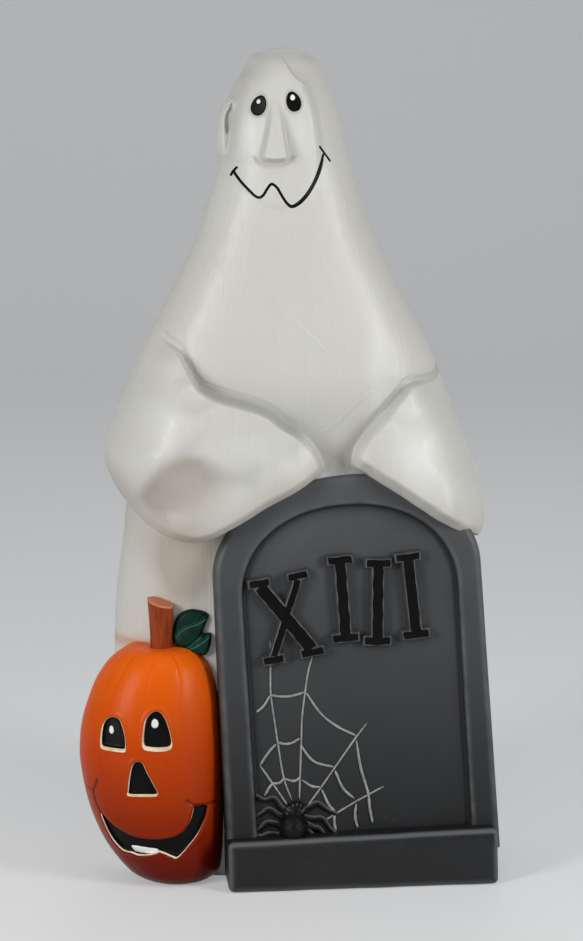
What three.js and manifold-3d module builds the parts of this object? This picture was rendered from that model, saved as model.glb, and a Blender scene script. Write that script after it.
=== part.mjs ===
// A lit halloween yard figure: a ghost leaning over a gravestone, with a carved pumpkin at its side.
// The figure is one blow-moulded polyethylene skin, drawn here as the regions that the mould and the
// paint give it. A lamp in a snap-in holder lights it from inside through a hole in the back.
// Millimetres, +Z up, the front faces -Y, and the origin is on the floor under the figure.

import * as THREE from "three";
import { mergeVertices } from "three/addons/utils/BufferGeometryUtils.js";
import Module from "manifold-3d";

const wasm = await Module();
wasm.setup();

// The moulded skin
const WALL = 2.2;
const SEAM_GAP = 0.3; // between the regions of the skin, and between a piece and its seat
const PARTING_Y = 20; // the plane where the two halves of the mould meet

// Gravestone
const SLAB_HALF_WIDTH = 142.5; // at the foot
const SLAB_DRAFT = 4; // how much narrower each side is where the arch springs
const SLAB_HEIGHT = 391;
const SLAB_ARCH_RISE = 101;
const SLAB_FOOT = 40; // height of the slab's foot, hidden in the plinth
const SLAB_CENTRE_X = 67.5;
const SLAB_FRONT = -103;
const SLAB_BACK = 45;
const SLAB_TILT_DEG = 3.1; // leans to the pumpkin's side
const SLAB_LEAN_DEG = 4; // leans back
const SLAB_EDGE_ROUND = 3;
const RIM_WIDTH = 27;
const PANEL_SINK = 7;
const PANEL_ARCH_RISE = 92;
const PLINTH_LEDGE = 15; // stands out in front of the slab
const PLINTH_BACK = 78;
const PLINTH_HEIGHT_LEFT = 54;
const PLINTH_HEIGHT_RIGHT = 61;
const PLINTH_ROUND = 8;
const REAR_STEP_FRONT = 22;
const REAR_STEP_RISE = 39; // above the right end of the plinth

// Ghost
const SLAB_TOP = SLAB_FOOT + SLAB_HEIGHT;
const SLEEVE_DROP = 67; // the left sleeve hangs this far below the top of the gravestone
const RIGHT_SLEEVE_DROP = 73;
const HEAD_RISE = 432; // above the gravestone
const HEAD_TOP = SLAB_TOP + HEAD_RISE;
const ROBE_LEFT = -190;
const ROBE_RIGHT = 172;
const ROBE_FRONT = -71;
const ROBE_BACK = 118;
const LEFT_ARM_HEIGHT = 218;
const LEFT_ARM_WIDTH = 221;
const LEFT_ARM_X = -197; // the left end of the left sleeve
const LEFT_ARM_REACH = 134; // in front of the parting plane
const RIGHT_ARM_HEIGHT = 181;
const RIGHT_ARM_WIDTH = 155;
const RIGHT_ARM_X = 48; // the tip of the right hand
const RIGHT_ARM_REACH = 130;
const SLEEVE_BACK_REACH = 72;
const SLEEVE_FLANK_ROUND = 74; // the outer side of a sleeve rounds away over this width
const LEFT_FLANK_FOOT = 91; // below this height over its low edge the left sleeve's outer side is upright
const RIGHT_FLANK_FOOT = 40;

// Pumpkin
const PUMPKIN_LEFT = -228;
const PUMPKIN_WIDTH = 152;
const PUMPKIN_Y = -47;
const PUMPKIN_DEPTH = 132;
const PUMPKIN_HEIGHT = 252;
const PUMPKIN_RIBS = 12;
const PUMPKIN_RIB_DEPTH = 0.02; // share of the radius
const CARVING_SINK = 4;
const STEM_X = -142;
const STEM_Y = -60;
const STEM_RADIUS = 12;
const STEM_HEIGHT = 48;
const STEM_SEAT = 12; // how far the stem reaches down into the crown
const STEM_FLUTES = 7;
const LEAF_THICKNESS = 9;
const UPPER_LEAF_OUT = 12; // from the stem's middle to the leaf's near end
const UPPER_LEAF_WIDTH = 37;
const UPPER_LEAF_HEIGHT = 43;
const UPPER_LEAF_DROP = 3; // its lowest point, below the pumpkin's crown
const UPPER_LEAF_FRONT = -66;
const LOWER_LEAF_OUT = 26;
const LOWER_LEAF_WIDTH = 25;
const LOWER_LEAF_HEIGHT = 25;
const LOWER_LEAF_DROP = 8;
const LOWER_LEAF_FRONT = -70;

// Face of the ghost
const FACE_X = -20; // the line between the eyes
const EYE_SPREAD = 18; // each eye from that line
const EYE_DROP = 57; // below the top of the head
const EYE_SINK = 1.6;
const EYE_HALF_WIDTH = 9;
const EYE_HALF_HEIGHT = 12;
const EYE_LEAN_DEG = 13;
const EYE_STEP = 2; // the right eye stands this much above their middle height
const NOSE_X = -22;
const NOSE_WIDTH = 29;
const NOSE_HEIGHT = 59;
const NOSE_DROP = 114;
const NOSE_FRONT = -64;
const NOSE_DEPTH = 44;
const SMILE_DROP = 140;
const SMILE_SPAN = 92;
const SMILE_WIDTH = 4;
const SMILE_SINK = 1;
const FOLD_WIDTH = 47;
const FOLD_HEIGHT = 74;
const FOLD_DROP = 120;
const FOLD_LEFT = -77;
const FOLD_FRONT = -4;
const FOLD_BACK = 58;

// Spider and web in relief on the gravestone's panel
const SPIDER_X = -70; // from the slab's middle
const SPIDER_Z = 31; // up from the slab's foot
const SPIDER_RADIUS = 14;
const SPIDER_LEG_RADIUS = 2.8;
const WEB_STRAND_RADIUS = 1.6;

// Lamp holder and lamp
const LAMP_X = -20;
const LAMP_Z = 250;
const LAMP_HOLE_RADIUS = 19;
const PAD_RADIUS = 36; // flat round seat moulded round the lamp hole
const PAD_DEPTH = 5;
const FLANGE_RADIUS = 26;
const FLANGE_THICKNESS = 3;
const HOLDER_RADIUS = 12;
const HOLDER_LENGTH = 34;
const CAP_RADIUS = 17;
const CAP_HEIGHT = 7.5;
const GLAND_RADIUS = 6.5;
const GLAND_LENGTH = 7;
const CORD_HOLE_RADIUS = 3;
const CORD_HOLE_DEPTH = 10;
const CLIP_WIDTH = 8;
const CLIP_THICKNESS = 0.8;
const CLIP_BOW = 3; // how far a clip stands out past the edge of the hole
const SCREW_SHELL_RADIUS = 6.9;
const SCREW_SHELL_LENGTH = 17;
const SCREW_SHELL_WALL = 0.6;
const CONTACT_RADIUS = 2.4;
const CONTACT_THICKNESS = 0.6;
const BULB_BASE_RADIUS = 5.95;
const BULB_BASE_LENGTH = 13;
const BULB_RADIUS = 11;
const BULB_LENGTH = 40;
const BULB_WALL = 0.8;
const FILAMENT_RADIUS = 0.4;

// Finishes
const finish = (colour, roughness, metalness = 0) =>
  new THREE.MeshStandardMaterial({ color: new THREE.Color(...colour), roughness, metalness });
const GHOST_WHITE = finish([0.82, 0.81, 0.77], 0.42);
const STONE_GREY = finish([0.09, 0.095, 0.1], 0.5);
const PUMPKIN_ORANGE = finish([0.8, 0.17, 0.01], 0.4);
const STEM_BROWN = finish([0.45, 0.13, 0.07], 0.5);
const LEAF_GREEN = finish([0.005, 0.08, 0.05], 0.4);
const SPIDER_BLACK = finish([0.01, 0.01, 0.01], 0.35);
const WEB_GREY = finish([0.3, 0.3, 0.3], 0.6);
const HOLDER_BLACK = finish([0.02, 0.02, 0.02], 0.5);
const SPRING_STEEL = finish([0.55, 0.56, 0.58], 0.3, 1);
const BRASS = finish([0.75, 0.58, 0.25], 0.3, 1);
const CLEAR_GLASS = finish([0.9, 0.92, 0.92], 0.05);
const SOLDER = finish([0.6, 0.6, 0.62], 0.4, 1);

// A three.js geometry as a solid that can be cut and joined
function solid(geometry) {
  const plain = geometry.index ? geometry.toNonIndexed() : geometry.clone();
  plain.deleteAttribute("normal");
  plain.deleteAttribute("uv");
  const merged = mergeVertices(plain, 1e-4);
  const corners = merged.index.array;
  const faces = [];
  for (let k = 0; k < corners.length; k += 3) {
    const [a, b, c] = corners.slice(k, k + 3);
    if (a !== b && b !== c && c !== a) faces.push(a, b, c);
  }
  return new wasm.Manifold(
    new wasm.Mesh({
      numProp: 3,
      vertProperties: merged.attributes.position.array,
      triVerts: new Uint32Array(faces),
    }),
  );
}

// A cut or joined solid back as a named mesh
function piece(name, shape, material) {
  const cut = shape.getMesh();
  const geometry = new THREE.BufferGeometry();
  geometry.setAttribute("position", new THREE.BufferAttribute(new Float32Array(cut.vertProperties), 3));
  geometry.setIndex(new THREE.BufferAttribute(new Uint32Array(cut.triVerts), 1));
  geometry.computeVertexNormals();
  const mesh = new THREE.Mesh(geometry, material);
  mesh.name = name;
  return mesh;
}

const joined = (solids) => solids.reduce((whole, next) => whole.add(next));

// The largest body of a cut solid, without the slivers that a cut can leave
const largest = (shape) => shape.decompose().sort((one, other) => other.volume() - one.volume())[0];

// A closed skin over rings of equal count, from the lowest ring to the highest
function loft(rings) {
  const count = rings[0].length;
  const points = rings.flat();
  const last = (rings.length - 1) * count;
  const centre = (ring) => ring.reduce((sum, p) => sum.add(p), new THREE.Vector3()).divideScalar(count);
  points.push(centre(rings[0]), centre(rings[rings.length - 1]));
  const faces = [];
  for (let row = 0; row < rings.length - 1; row++) {
    for (let k = 0; k < count; k++) {
      const a = row * count + k;
      const b = row * count + ((k + 1) % count);
      faces.push(a, b, b + count, a, b + count, a + count);
    }
  }
  for (let k = 0; k < count; k++) {
    const next = (k + 1) % count;
    faces.push(points.length - 2, next, k, points.length - 1, last + k, last + next);
  }
  const geometry = new THREE.BufferGeometry().setFromPoints(points);
  geometry.setIndex(faces);
  return geometry;
}

// The value at z on a smooth curve through stations that are sorted by z
function smooth(stations, key, z) {
  const last = stations.length - 1;
  let i = 0;
  while (i < last - 1 && z > stations[i + 1].z) i++;
  const [p0, p1] = [stations[Math.max(i - 1, 0)], stations[i]];
  const [p2, p3] = [stations[i + 1], stations[Math.min(i + 2, last)]];
  const t = THREE.MathUtils.clamp((z - p1.z) / (p2.z - p1.z), 0, 1);
  const slope = (a, b) => (b.z === a.z ? 0 : (b[key] - a[key]) / (b.z - a.z));
  const span = p2.z - p1.z;
  const m1 = slope(p0, p2) * span;
  const m2 = slope(p1, p3) * span;
  const [t2, t3] = [t * t, t * t * t];
  return (
    (2 * t3 - 3 * t2 + 1) * p1[key] + (t3 - 2 * t2 + t) * m1 + (-2 * t3 + 3 * t2) * p2[key] + (t3 - t2) * m2
  );
}

// One level ring of a lobe: a squared ellipse between its left, right, front and back
function lobeRing({ z, left, right, front, back, middle = PARTING_Y, power = 2.4 }, count) {
  const centre = (left + right) / 2;
  const halfWidth = (right - left) / 2;
  return Array.from({ length: count }, (_, k) => {
    const angle = (2 * Math.PI * k) / count;
    const across = Math.sign(Math.cos(angle)) * Math.abs(Math.cos(angle)) ** (2 / power);
    const deep = Math.sign(Math.sin(angle)) * Math.abs(Math.sin(angle)) ** (2 / power);
    const y = middle + deep * (deep < 0 ? middle - front : back - middle);
    return new THREE.Vector3(centre + across * halfWidth, y, z);
  });
}

// A lobe lofted through its stations, drawn in on every side by an inset
function lobe(stations, inset, rows, count) {
  const [low, high] = [stations[0].z, stations[stations.length - 1].z];
  const least = 0.6;
  const rings = [];
  for (let row = 0; row <= rows; row++) {
    // Rows crowd together at the two ends, where a lobe closes
    const share = (1 - Math.cos((Math.PI * row) / rows)) / 2;
    const z = low + (high - low) * share;
    const at = (key) => smooth(stations, key, z);
    const middle = Math.min(PARTING_Y, at("back") - 1);
    const halfWidth = Math.max((at("right") - at("left")) / 2 - inset, least);
    const centre = (at("right") + at("left")) / 2;
    const ring = {
      z: low + inset + (high - low - 2 * inset) * share,
      left: centre - halfWidth,
      right: centre + halfWidth,
      front: Math.min(at("front") + inset, middle - least),
      back: Math.max(at("back") - inset, middle + least),
      middle,
    };
    rings.push(lobeRing(ring, count));
  }
  return solid(loft(rings));
}

// A flat outline, drawn in X and Z, made solid from a front to a back in Y
function prism(shape, front, back, curveSegments = 12) {
  const depth = back - front;
  const geometry = new THREE.ExtrudeGeometry(shape, { depth, bevelEnabled: false, curveSegments });
  return solid(geometry.rotateX(Math.PI / 2).translate(0, back, 0));
}

// The same with its front and back edges rounded over
function roundedPrism(shape, front, back, round) {
  const geometry = new THREE.ExtrudeGeometry(shape, {
    depth: back - front - 2 * round,
    bevelEnabled: true,
    bevelThickness: round,
    bevelSize: round,
    bevelOffset: -round,
    bevelSegments: 2,
    curveSegments: 10,
  });
  return solid(geometry.rotateX(Math.PI / 2).translate(0, back - round, 0));
}

// A solid turned about its own axis: points are [radius, height], from the axis back to the axis
const turned = (points, sides) =>
  new THREE.LatheGeometry(
    points.map(([radius, height]) => new THREE.Vector2(radius, height)),
    sides,
  );

// A round bar along a path
function bar(path, radius, steps, sides) {
  const section = new THREE.Shape();
  for (let k = 0; k < sides; k++) {
    const angle = (2 * Math.PI * k) / sides;
    const [x, y] = [radius * Math.cos(angle), radius * Math.sin(angle)];
    if (k) section.lineTo(x, y);
    else section.moveTo(x, y);
  }
  section.closePath();
  return new THREE.ExtrudeGeometry(section, { extrudePath: path, steps, curveSegments: 1 });
}

// A ribbon of even width along a smooth line in the X, Z plane
function ribbon(points, width, steps) {
  const line = new THREE.SplineCurve(points.map(([x, z]) => new THREE.Vector2(x, z)));
  const [one, other] = [[], []];
  for (let k = 0; k <= steps; k++) {
    const p = line.getPoint(k / steps);
    const along = line.getTangent(k / steps);
    const aside = new THREE.Vector2(-along.y, along.x).multiplyScalar(width / 2);
    one.push(p.clone().add(aside));
    other.unshift(p.clone().sub(aside));
  }
  return new THREE.Shape([...one, ...other]);
}

// Presses an outline into a solid, down to a copy of the solid that is drawn in
const pressed = (whole, deeper, outline) => whole.subtract(outline.subtract(deeper));

// Ghost: each lobe is given as shares of its own room, from low to high, and its sides and depths
const GHOST_PROFILE = [
  [0, 0.044, 0.956, 0.76, 0.837],
  [0.006, 0.022, 0.978, 0.852, 0.918],
  [0.014, 0.008, 0.992, 0.92, 0.969],
  [0.026, 0, 1, 0.945, 1],
  [0.07, 0.003, 0.994, 0.945, 1],
  [0.278, 0.008, 0.981, 0.945, 1],
  [0.406, 0.036, 0.967, 0.967, 0.98],
  [0.498, 0.058, 0.961, 0.989, 0.949],
  [0.579, 0.08, 0.965, 1, 0.908],
  [0.637, 0.106, 0.935, 0.989, 0.867],
  [0.698, 0.169, 0.862, 0.945, 0.816],
  [0.759, 0.24, 0.787, 0.868, 0.745],
  [0.818, 0.29, 0.729, 0.791, 0.673],
  [0.878, 0.331, 0.685, 0.725, 0.612],
  [0.927, 0.351, 0.657, 0.681, 0.561],
  [0.962, 0.376, 0.632, 0.56, 0.459],
  [0.985, 0.402, 0.604, 0.38, 0.33],
  [0.997, 0.436, 0.568, 0.2, 0.18],
  [1, 0.468, 0.53, 0.09, 0.085],
];
// The sleeves seen from the front, as shares of their width and height
const LEFT_ARM_OUTLINE = [
  [0.26, 0.995],
  [0.33, 0.885],
  [0.407, 0.743],
  [0.547, 0.706],
  [0.656, 0.67],
  [0.76, 0.624],
  [0.855, 0.56],
  [0.932, 0.477],
  [0.982, 0.394],
  [1, 0.344],
  [0.928, 0.275],
  [0.819, 0.206],
  [0.701, 0.138],
  [0.588, 0.073],
  [0.507, 0.028],
  [0.412, 0],
  [0.312, 0.005],
  [0.23, 0.032],
  [0.154, 0.092],
  [0.09, 0.165],
  [0.036, 0.248],
  [0.005, 0.335],
  [0, 0.413],
  [0.032, 0.509],
  [0.077, 0.615],
  [0.131, 0.739],
  [0.185, 0.862],
];
const RIGHT_ARM_OUTLINE = [
  [0.59, 1],
  [0.51, 0.945],
  [0.375, 0.912],
  [0.19, 0.74],
  [0.07, 0.618],
  [0.019, 0.53],
  [0, 0.453],
  [0.108, 0.403],
  [0.229, 0.331],
  [0.37, 0.26],
  [0.541, 0.149],
  [0.681, 0.099],
  [0.765, 0.07],
  [0.854, 0.035],
  [0.936, 0.008],
  [0.987, 0.05],
  [1, 0.14],
  [0.981, 0.29],
  [0.913, 0.46],
  [0.83, 0.62],
  [0.76, 0.78],
  [0.685, 0.93],
];
const FLANK_LEAN = 0.36; // how far the outer side leans in for each unit of height
const FLANK_LEAST = 0.25;
const SHOULDER_UP = 0.6; // from this share of its height up, a sleeve's reach falls
const SHOULDER_FALL = 0.4;
// How a sleeve swells in front of the parting plane: share of its reach, share of its outline
const SLEEVE_SWELL = [
  [-1, 0.3],
  [-0.75, 0.72],
  [-0.4, 0.94],
  [0, 1],
  [0.45, 1],
  [0.72, 0.98],
  [0.86, 0.93],
  [0.95, 0.8],
  [0.99, 0.6],
  [1, 0.3],
];
const FOLD_PROFILE = [
  [0, 0.191, 0.787, 0.417, 0.526],
  [0.108, 0.064, 0.894, 0.833, 0.842],
  [0.405, 0, 1, 1, 1],
  [0.743, 0.106, 1, 0.833, 0.947],
  [1, 0.362, 0.872, 0.333, 0.632],
];
const NOSE_PROFILE = [
  [0, 0.138, 0.862, 0.857, 1],
  [0.102, 0, 1, 0.988, 1],
  [0.305, 0.034, 0.966, 1, 1],
  [0.661, 0.207, 0.828, 0.905, 1],
  [1, 0.345, 0.69, 0.81, 1],
];

function stations(profile, { low, high, left, right, front, back }) {
  return profile.map(([up, toLeft, toRight, forward, backward]) => ({
    z: low + (high - low) * up,
    left: left + (right - left) * toLeft,
    right: left + (right - left) * toRight,
    front: PARTING_Y + (front - PARTING_Y) * forward,
    back: PARTING_Y + (back - PARTING_Y) * backward,
  }));
}

const GHOST = stations(GHOST_PROFILE, {
  low: 0,
  high: HEAD_TOP,
  left: ROBE_LEFT,
  right: ROBE_RIGHT,
  front: ROBE_FRONT,
  back: ROBE_BACK,
});
const LEFT_ARM = {
  outline: LEFT_ARM_OUTLINE,
  left: LEFT_ARM_X,
  low: SLAB_TOP - SLEEVE_DROP,
  width: LEFT_ARM_WIDTH,
  height: LEFT_ARM_HEIGHT,
  reach: LEFT_ARM_REACH,
  flank: { side: -1, x: LEFT_ARM_X, foot: SLAB_TOP - SLEEVE_DROP + LEFT_FLANK_FOOT },
  points: 28,
};
const RIGHT_ARM = {
  outline: RIGHT_ARM_OUTLINE,
  left: RIGHT_ARM_X,
  low: SLAB_TOP - RIGHT_SLEEVE_DROP,
  width: RIGHT_ARM_WIDTH,
  height: RIGHT_ARM_HEIGHT,
  reach: RIGHT_ARM_REACH,
  flank: {
    side: 1,
    x: RIGHT_ARM_X + RIGHT_ARM_WIDTH,
    foot: SLAB_TOP - RIGHT_SLEEVE_DROP + RIGHT_FLANK_FOOT,
  },
  points: 24,
};
const FOLD = stations(FOLD_PROFILE, {
  low: HEAD_TOP - FOLD_DROP,
  high: HEAD_TOP - FOLD_DROP + FOLD_HEIGHT,
  left: FOLD_LEFT,
  right: FOLD_LEFT + FOLD_WIDTH,
  front: FOLD_FRONT,
  back: FOLD_BACK,
});
const NOSE = stations(NOSE_PROFILE, {
  low: HEAD_TOP - NOSE_DROP,
  high: HEAD_TOP - NOSE_DROP + NOSE_HEIGHT,
  left: NOSE_X - NOSE_WIDTH / 2,
  right: NOSE_X + NOSE_WIDTH / 2,
  front: NOSE_FRONT,
  back: NOSE_FRONT + NOSE_DEPTH,
});
// The smile's line from the face's middle, across and up, as shares of its span
const SMILE = [
  [-0.478, 0.174],
  [-0.342, -0.011],
  [-0.201, -0.12],
  [-0.065, 0.022],
  [0.033, -0.098],
  [0.163, -0.217],
  [0.304, -0.12],
  [0.446, 0.098],
  [0.522, 0.326],
];

// The share of its reach that a sleeve has at a point, less towards its outer side and shoulder
function reachShare({ side, x, foot }, up, at) {
  const outer = x - side * FLANK_LEAN * Math.max(0, at.y - foot);
  const inward = THREE.MathUtils.clamp((side * (outer - at.x)) / SLEEVE_FLANK_ROUND, 0, 1);
  const flankShare = FLANK_LEAST + (1 - FLANK_LEAST) * Math.sqrt(1 - (1 - inward) ** 2);
  return flankShare * (1 - SHOULDER_FALL * THREE.MathUtils.smoothstep(up, SHOULDER_UP, 1));
}

// A sleeve lofted from back to front through swelling copies of its outline
function sleeve({ outline, left, low, width, height, reach, flank, points }, inset) {
  const line = new THREE.SplineCurve([...outline, outline[0]].map(([x, z]) => new THREE.Vector2(x, z)));
  const around = line.getPoints(points).slice(0, -1);
  if (THREE.ShapeUtils.isClockWise(around)) around.reverse();
  const middle = new THREE.Vector2(left + width * 0.45, low + height * 0.42);
  const tighter = 1 - inset / (0.38 * Math.min(width, height));
  const rings = SLEEVE_SWELL.map(([forward, share]) => {
    const way = forward < 0 ? forward * (SLEEVE_BACK_REACH - inset) : forward * (reach - inset);
    return around.map((p) => {
      const at = new THREE.Vector2(left + width * p.x, low + height * p.y);
      at.sub(middle).multiplyScalar(share * tighter).add(middle);
      const kept = forward > 0 ? reachShare(flank, (at.y - low) / height, at) : 1;
      return new THREE.Vector3(at.x, PARTING_Y - way * kept, at.y);
    });
  });
  return solid(loft(rings));
}

function ghost(inset, rows, count) {
  return joined([
    lobe(GHOST, inset, rows, count),
    sleeve(LEFT_ARM, inset),
    sleeve(RIGHT_ARM, inset),
    lobe(FOLD, inset, 6, 12),
  ]);
}

const nose = (inset, rows, count) => lobe(NOSE, inset, rows, count);

function eyeOutline(side) {
  const outline = new THREE.Shape();
  outline.absellipse(0, 0, EYE_HALF_WIDTH, EYE_HALF_HEIGHT, 0, 2 * Math.PI);
  const points = outline.getPoints(5).slice(0, -1);
  const turn = THREE.MathUtils.degToRad(side * EYE_LEAN_DEG);
  const place = new THREE.Vector2(FACE_X + side * EYE_SPREAD, HEAD_TOP - EYE_DROP + side * EYE_STEP);
  return new THREE.Shape(points.map((p) => p.rotateAround(new THREE.Vector2(), turn).add(place)));
}

function carvedGhost(rows, count) {
  const cutter = (outline) => prism(outline, NOSE_FRONT - 40, PARTING_Y);
  const smileLine = SMILE.map(([across, up]) => [
    FACE_X + SMILE_SPAN * across,
    HEAD_TOP - SMILE_DROP + SMILE_SPAN * up,
  ]);
  const eyes = joined([cutter(eyeOutline(-1)), cutter(eyeOutline(1))]);
  const smile = cutter(ribbon(smileLine, SMILE_WIDTH, 20));
  const withEyes = pressed(ghost(0, rows, count), ghost(EYE_SINK, rows, count), eyes);
  return pressed(withEyes, ghost(SMILE_SINK, rows, count), smile).add(nose(0, 6, 12));
}

// Gravestone: a slab with a sunk panel, on a plinth
function slabOutline(halfFoot, halfShoulder, height, rise, foot) {
  const spring = height - rise;
  const outline = new THREE.Shape();
  outline.moveTo(-halfFoot, foot);
  outline.lineTo(halfFoot, foot);
  outline.lineTo(halfShoulder, spring);
  outline.absellipse(0, spring, halfShoulder, rise, 0, Math.PI);
  outline.closePath();
  return outline;
}

// Sets a solid drawn upright at X = 0, with its foot at Z = 0, where the slab stands
function stood(shape) {
  return shape
    .rotate([-SLAB_LEAN_DEG, 0, 0])
    .rotate([0, -SLAB_TILT_DEG, 0])
    .translate([SLAB_CENTRE_X, SLAB_FRONT, SLAB_FOOT]);
}

function panelOutline(grow) {
  const half = SLAB_HALF_WIDTH - SLAB_DRAFT - RIM_WIDTH + grow;
  return slabOutline(half, half, SLAB_HEIGHT - RIM_WIDTH + grow, PANEL_ARCH_RISE, -10);
}

function slab(inset) {
  const half = SLAB_HALF_WIDTH - inset;
  const outline = slabOutline(half, half - SLAB_DRAFT, SLAB_HEIGHT - inset, SLAB_ARCH_RISE, -20);
  const deep = SLAB_BACK - SLAB_FRONT;
  const block = roundedPrism(outline, inset, deep - inset, SLAB_EDGE_ROUND);
  const sunk = prism(panelOutline(inset), -SLAB_EDGE_ROUND - 1, PANEL_SINK + inset, 16);
  return stood(block.subtract(sunk));
}

// A block of the plinth, from the left to just short of the slab's right edge
function plinthBlock(inset, { left, front, heightLeft, heightRight }) {
  const round = PLINTH_ROUND;
  const [low, lower, right] = [inset, left + inset, SLAB_CENTRE_X + SLAB_HALF_WIDTH - 4 - inset];
  const [highLeft, highRight] = [heightLeft - inset, heightRight - inset];
  const outline = new THREE.Shape();
  outline.moveTo(lower + round, low);
  outline.lineTo(right - round, low);
  outline.quadraticCurveTo(right, low, right, low + round);
  outline.lineTo(right - 2, highRight - round);
  outline.quadraticCurveTo(right - 2, highRight, right - round, highRight);
  outline.lineTo(lower + round, highLeft);
  outline.quadraticCurveTo(lower, highLeft, lower, highLeft - round);
  outline.lineTo(lower + 1, low + round);
  outline.closePath();
  return roundedPrism(outline, front + inset, PLINTH_BACK - inset, round / 2);
}

function plinth(inset) {
  const step = PLINTH_HEIGHT_RIGHT + REAR_STEP_RISE;
  const front = plinthBlock(inset, {
    left: SLAB_CENTRE_X - SLAB_HALF_WIDTH - 3,
    front: SLAB_FRONT - PLINTH_LEDGE,
    heightLeft: PLINTH_HEIGHT_LEFT,
    heightRight: PLINTH_HEIGHT_RIGHT,
  });
  const rear = plinthBlock(inset, {
    left: SLAB_CENTRE_X,
    front: REAR_STEP_FRONT,
    heightLeft: step,
    heightRight: step,
  });
  return front.add(rear);
}

const gravestone = (inset) => slab(inset).add(plinth(inset));

// Pumpkin: a ribbed egg with a carved face
// Shares of its height, and of its width and depth from the left or the back
const PUMPKIN_PROFILE = [
  [0, 0.49, 0.79, 0.32, 0.68],
  [0.012, 0.42, 0.86, 0.25, 0.75],
  [0.028, 0.36, 0.91, 0.2, 0.8],
  [0.055, 0.29, 0.945, 0.15, 0.85],
  [0.119, 0.2, 0.975, 0.09, 0.91],
  [0.206, 0.115, 0.99, 0.045, 0.955],
  [0.337, 0.04, 1, 0.012, 0.988],
  [0.5, 0, 1, 0, 1],
  [0.595, 0.005, 0.993, 0.004, 0.996],
  [0.678, 0.022, 0.98, 0.014, 0.986],
  [0.766, 0.065, 0.97, 0.04, 0.96],
  [0.849, 0.12, 0.945, 0.085, 0.915],
  [0.92, 0.2, 0.9, 0.15, 0.85],
  [0.965, 0.285, 0.83, 0.22, 0.78],
  [0.99, 0.37, 0.75, 0.3, 0.7],
  [1, 0.45, 0.67, 0.38, 0.62],
];
const PUMPKIN = PUMPKIN_PROFILE.map(([up, toLeft, toRight, toFront, toBack]) => ({
  z: PUMPKIN_HEIGHT * up,
  left: PUMPKIN_LEFT + PUMPKIN_WIDTH * toLeft,
  right: PUMPKIN_LEFT + PUMPKIN_WIDTH * toRight,
  front: PUMPKIN_Y + PUMPKIN_DEPTH * (toFront - 0.5),
  back: PUMPKIN_Y + PUMPKIN_DEPTH * (toBack - 0.5),
}));

function pumpkinBody(inset, rows, count) {
  const rings = [];
  for (let row = 0; row <= rows; row++) {
    const share = (1 - Math.cos((Math.PI * row) / rows)) / 2;
    const at = (key) => smooth(PUMPKIN, key, PUMPKIN_HEIGHT * share);
    const [middle, halfWidth] = [(at("left") + at("right")) / 2, (at("right") - at("left")) / 2];
    const halfDepth = (at("back") - at("front")) / 2;
    const z = inset + (PUMPKIN_HEIGHT - 2 * inset) * share;
    const ring = Array.from({ length: count }, (_, k) => {
      const angle = (2 * Math.PI * k) / count;
      const rib = 1 - PUMPKIN_RIB_DEPTH * (1 - Math.cos(PUMPKIN_RIBS * angle));
      const x = middle + Math.max(halfWidth * rib - inset, 0.6) * Math.cos(angle);
      return new THREE.Vector3(x, PUMPKIN_Y + Math.max(halfDepth * rib - inset, 0.6) * Math.sin(angle), z);
    });
    rings.push(ring);
  }
  return solid(loft(rings));
}

const PUMPKIN_X = PUMPKIN_LEFT + PUMPKIN_WIDTH * 0.513;

// Carved openings, in X from the pumpkin's middle and Z from the floor, on a pumpkin of this size
const DRAWN_WIDTH = 152;
const DRAWN_HEIGHT = 252;

function carvedEye(x, low, high, halfWidth) {
  const outline = new THREE.Shape();
  outline.moveTo(x - halfWidth, low + 4);
  outline.quadraticCurveTo(x - halfWidth * 0.9, low, x - halfWidth * 0.4, low);
  outline.lineTo(x + halfWidth * 0.7, low);
  outline.quadraticCurveTo(x + halfWidth, low, x + halfWidth, low + 5);
  outline.bezierCurveTo(x + halfWidth, high - 12, x + halfWidth * 0.6, high, x, high);
  outline.bezierCurveTo(x - halfWidth * 0.6, high, x - halfWidth, high - 14, x - halfWidth, low + 4);
  return outline;
}

function carvedNose() {
  const outline = new THREE.Shape();
  outline.moveTo(-20, 143);
  outline.lineTo(-15.5, 143);
  outline.quadraticCurveTo(-4, 126, -1.5, 109);
  outline.lineTo(-28, 109);
  outline.quadraticCurveTo(-30, 128, -20, 143);
  return outline;
}

function carvedMouth() {
  const outline = new THREE.Shape();
  outline.moveTo(-56, 90);
  outline.bezierCurveTo(-38, 58, 20, 48, 34, 76);
  outline.lineTo(40, 95);
  outline.lineTo(51, 95);
  outline.bezierCurveTo(50, 66, 34, 56, 18, 42);
  outline.lineTo(0, 49);
  outline.lineTo(-25, 52);
  outline.lineTo(-34, 50);
  outline.quadraticCurveTo(-48, 66, -56, 90);
  return outline;
}

function carvings(grow) {
  const outlines = [carvedEye(-44, 157, 191, 12), carvedEye(1, 158, 195, 14), carvedNose(), carvedMouth()];
  const scale = new THREE.Vector2(PUMPKIN_WIDTH / DRAWN_WIDTH, PUMPKIN_HEIGHT / DRAWN_HEIGHT);
  const cutters = outlines.map((outline) => {
    const points = outline.getPoints(3).map((p) => p.multiply(scale));
    const middle = new THREE.Box2().setFromPoints(points).getCenter(new THREE.Vector2());
    const size = new THREE.Box2().setFromPoints(points).getSize(new THREE.Vector2());
    const larger = new THREE.Vector2(1 + (2 * grow) / size.x, 1 + (2 * grow) / size.y);
    const around = points.map((p) => p.sub(middle).multiply(larger).add(middle));
    return prism(new THREE.Shape(around), PUMPKIN_Y - PUMPKIN_DEPTH, PUMPKIN_Y - PUMPKIN_DEPTH / 6);
  });
  return joined(cutters).translate([PUMPKIN_X, 0, 0]);
}

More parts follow.
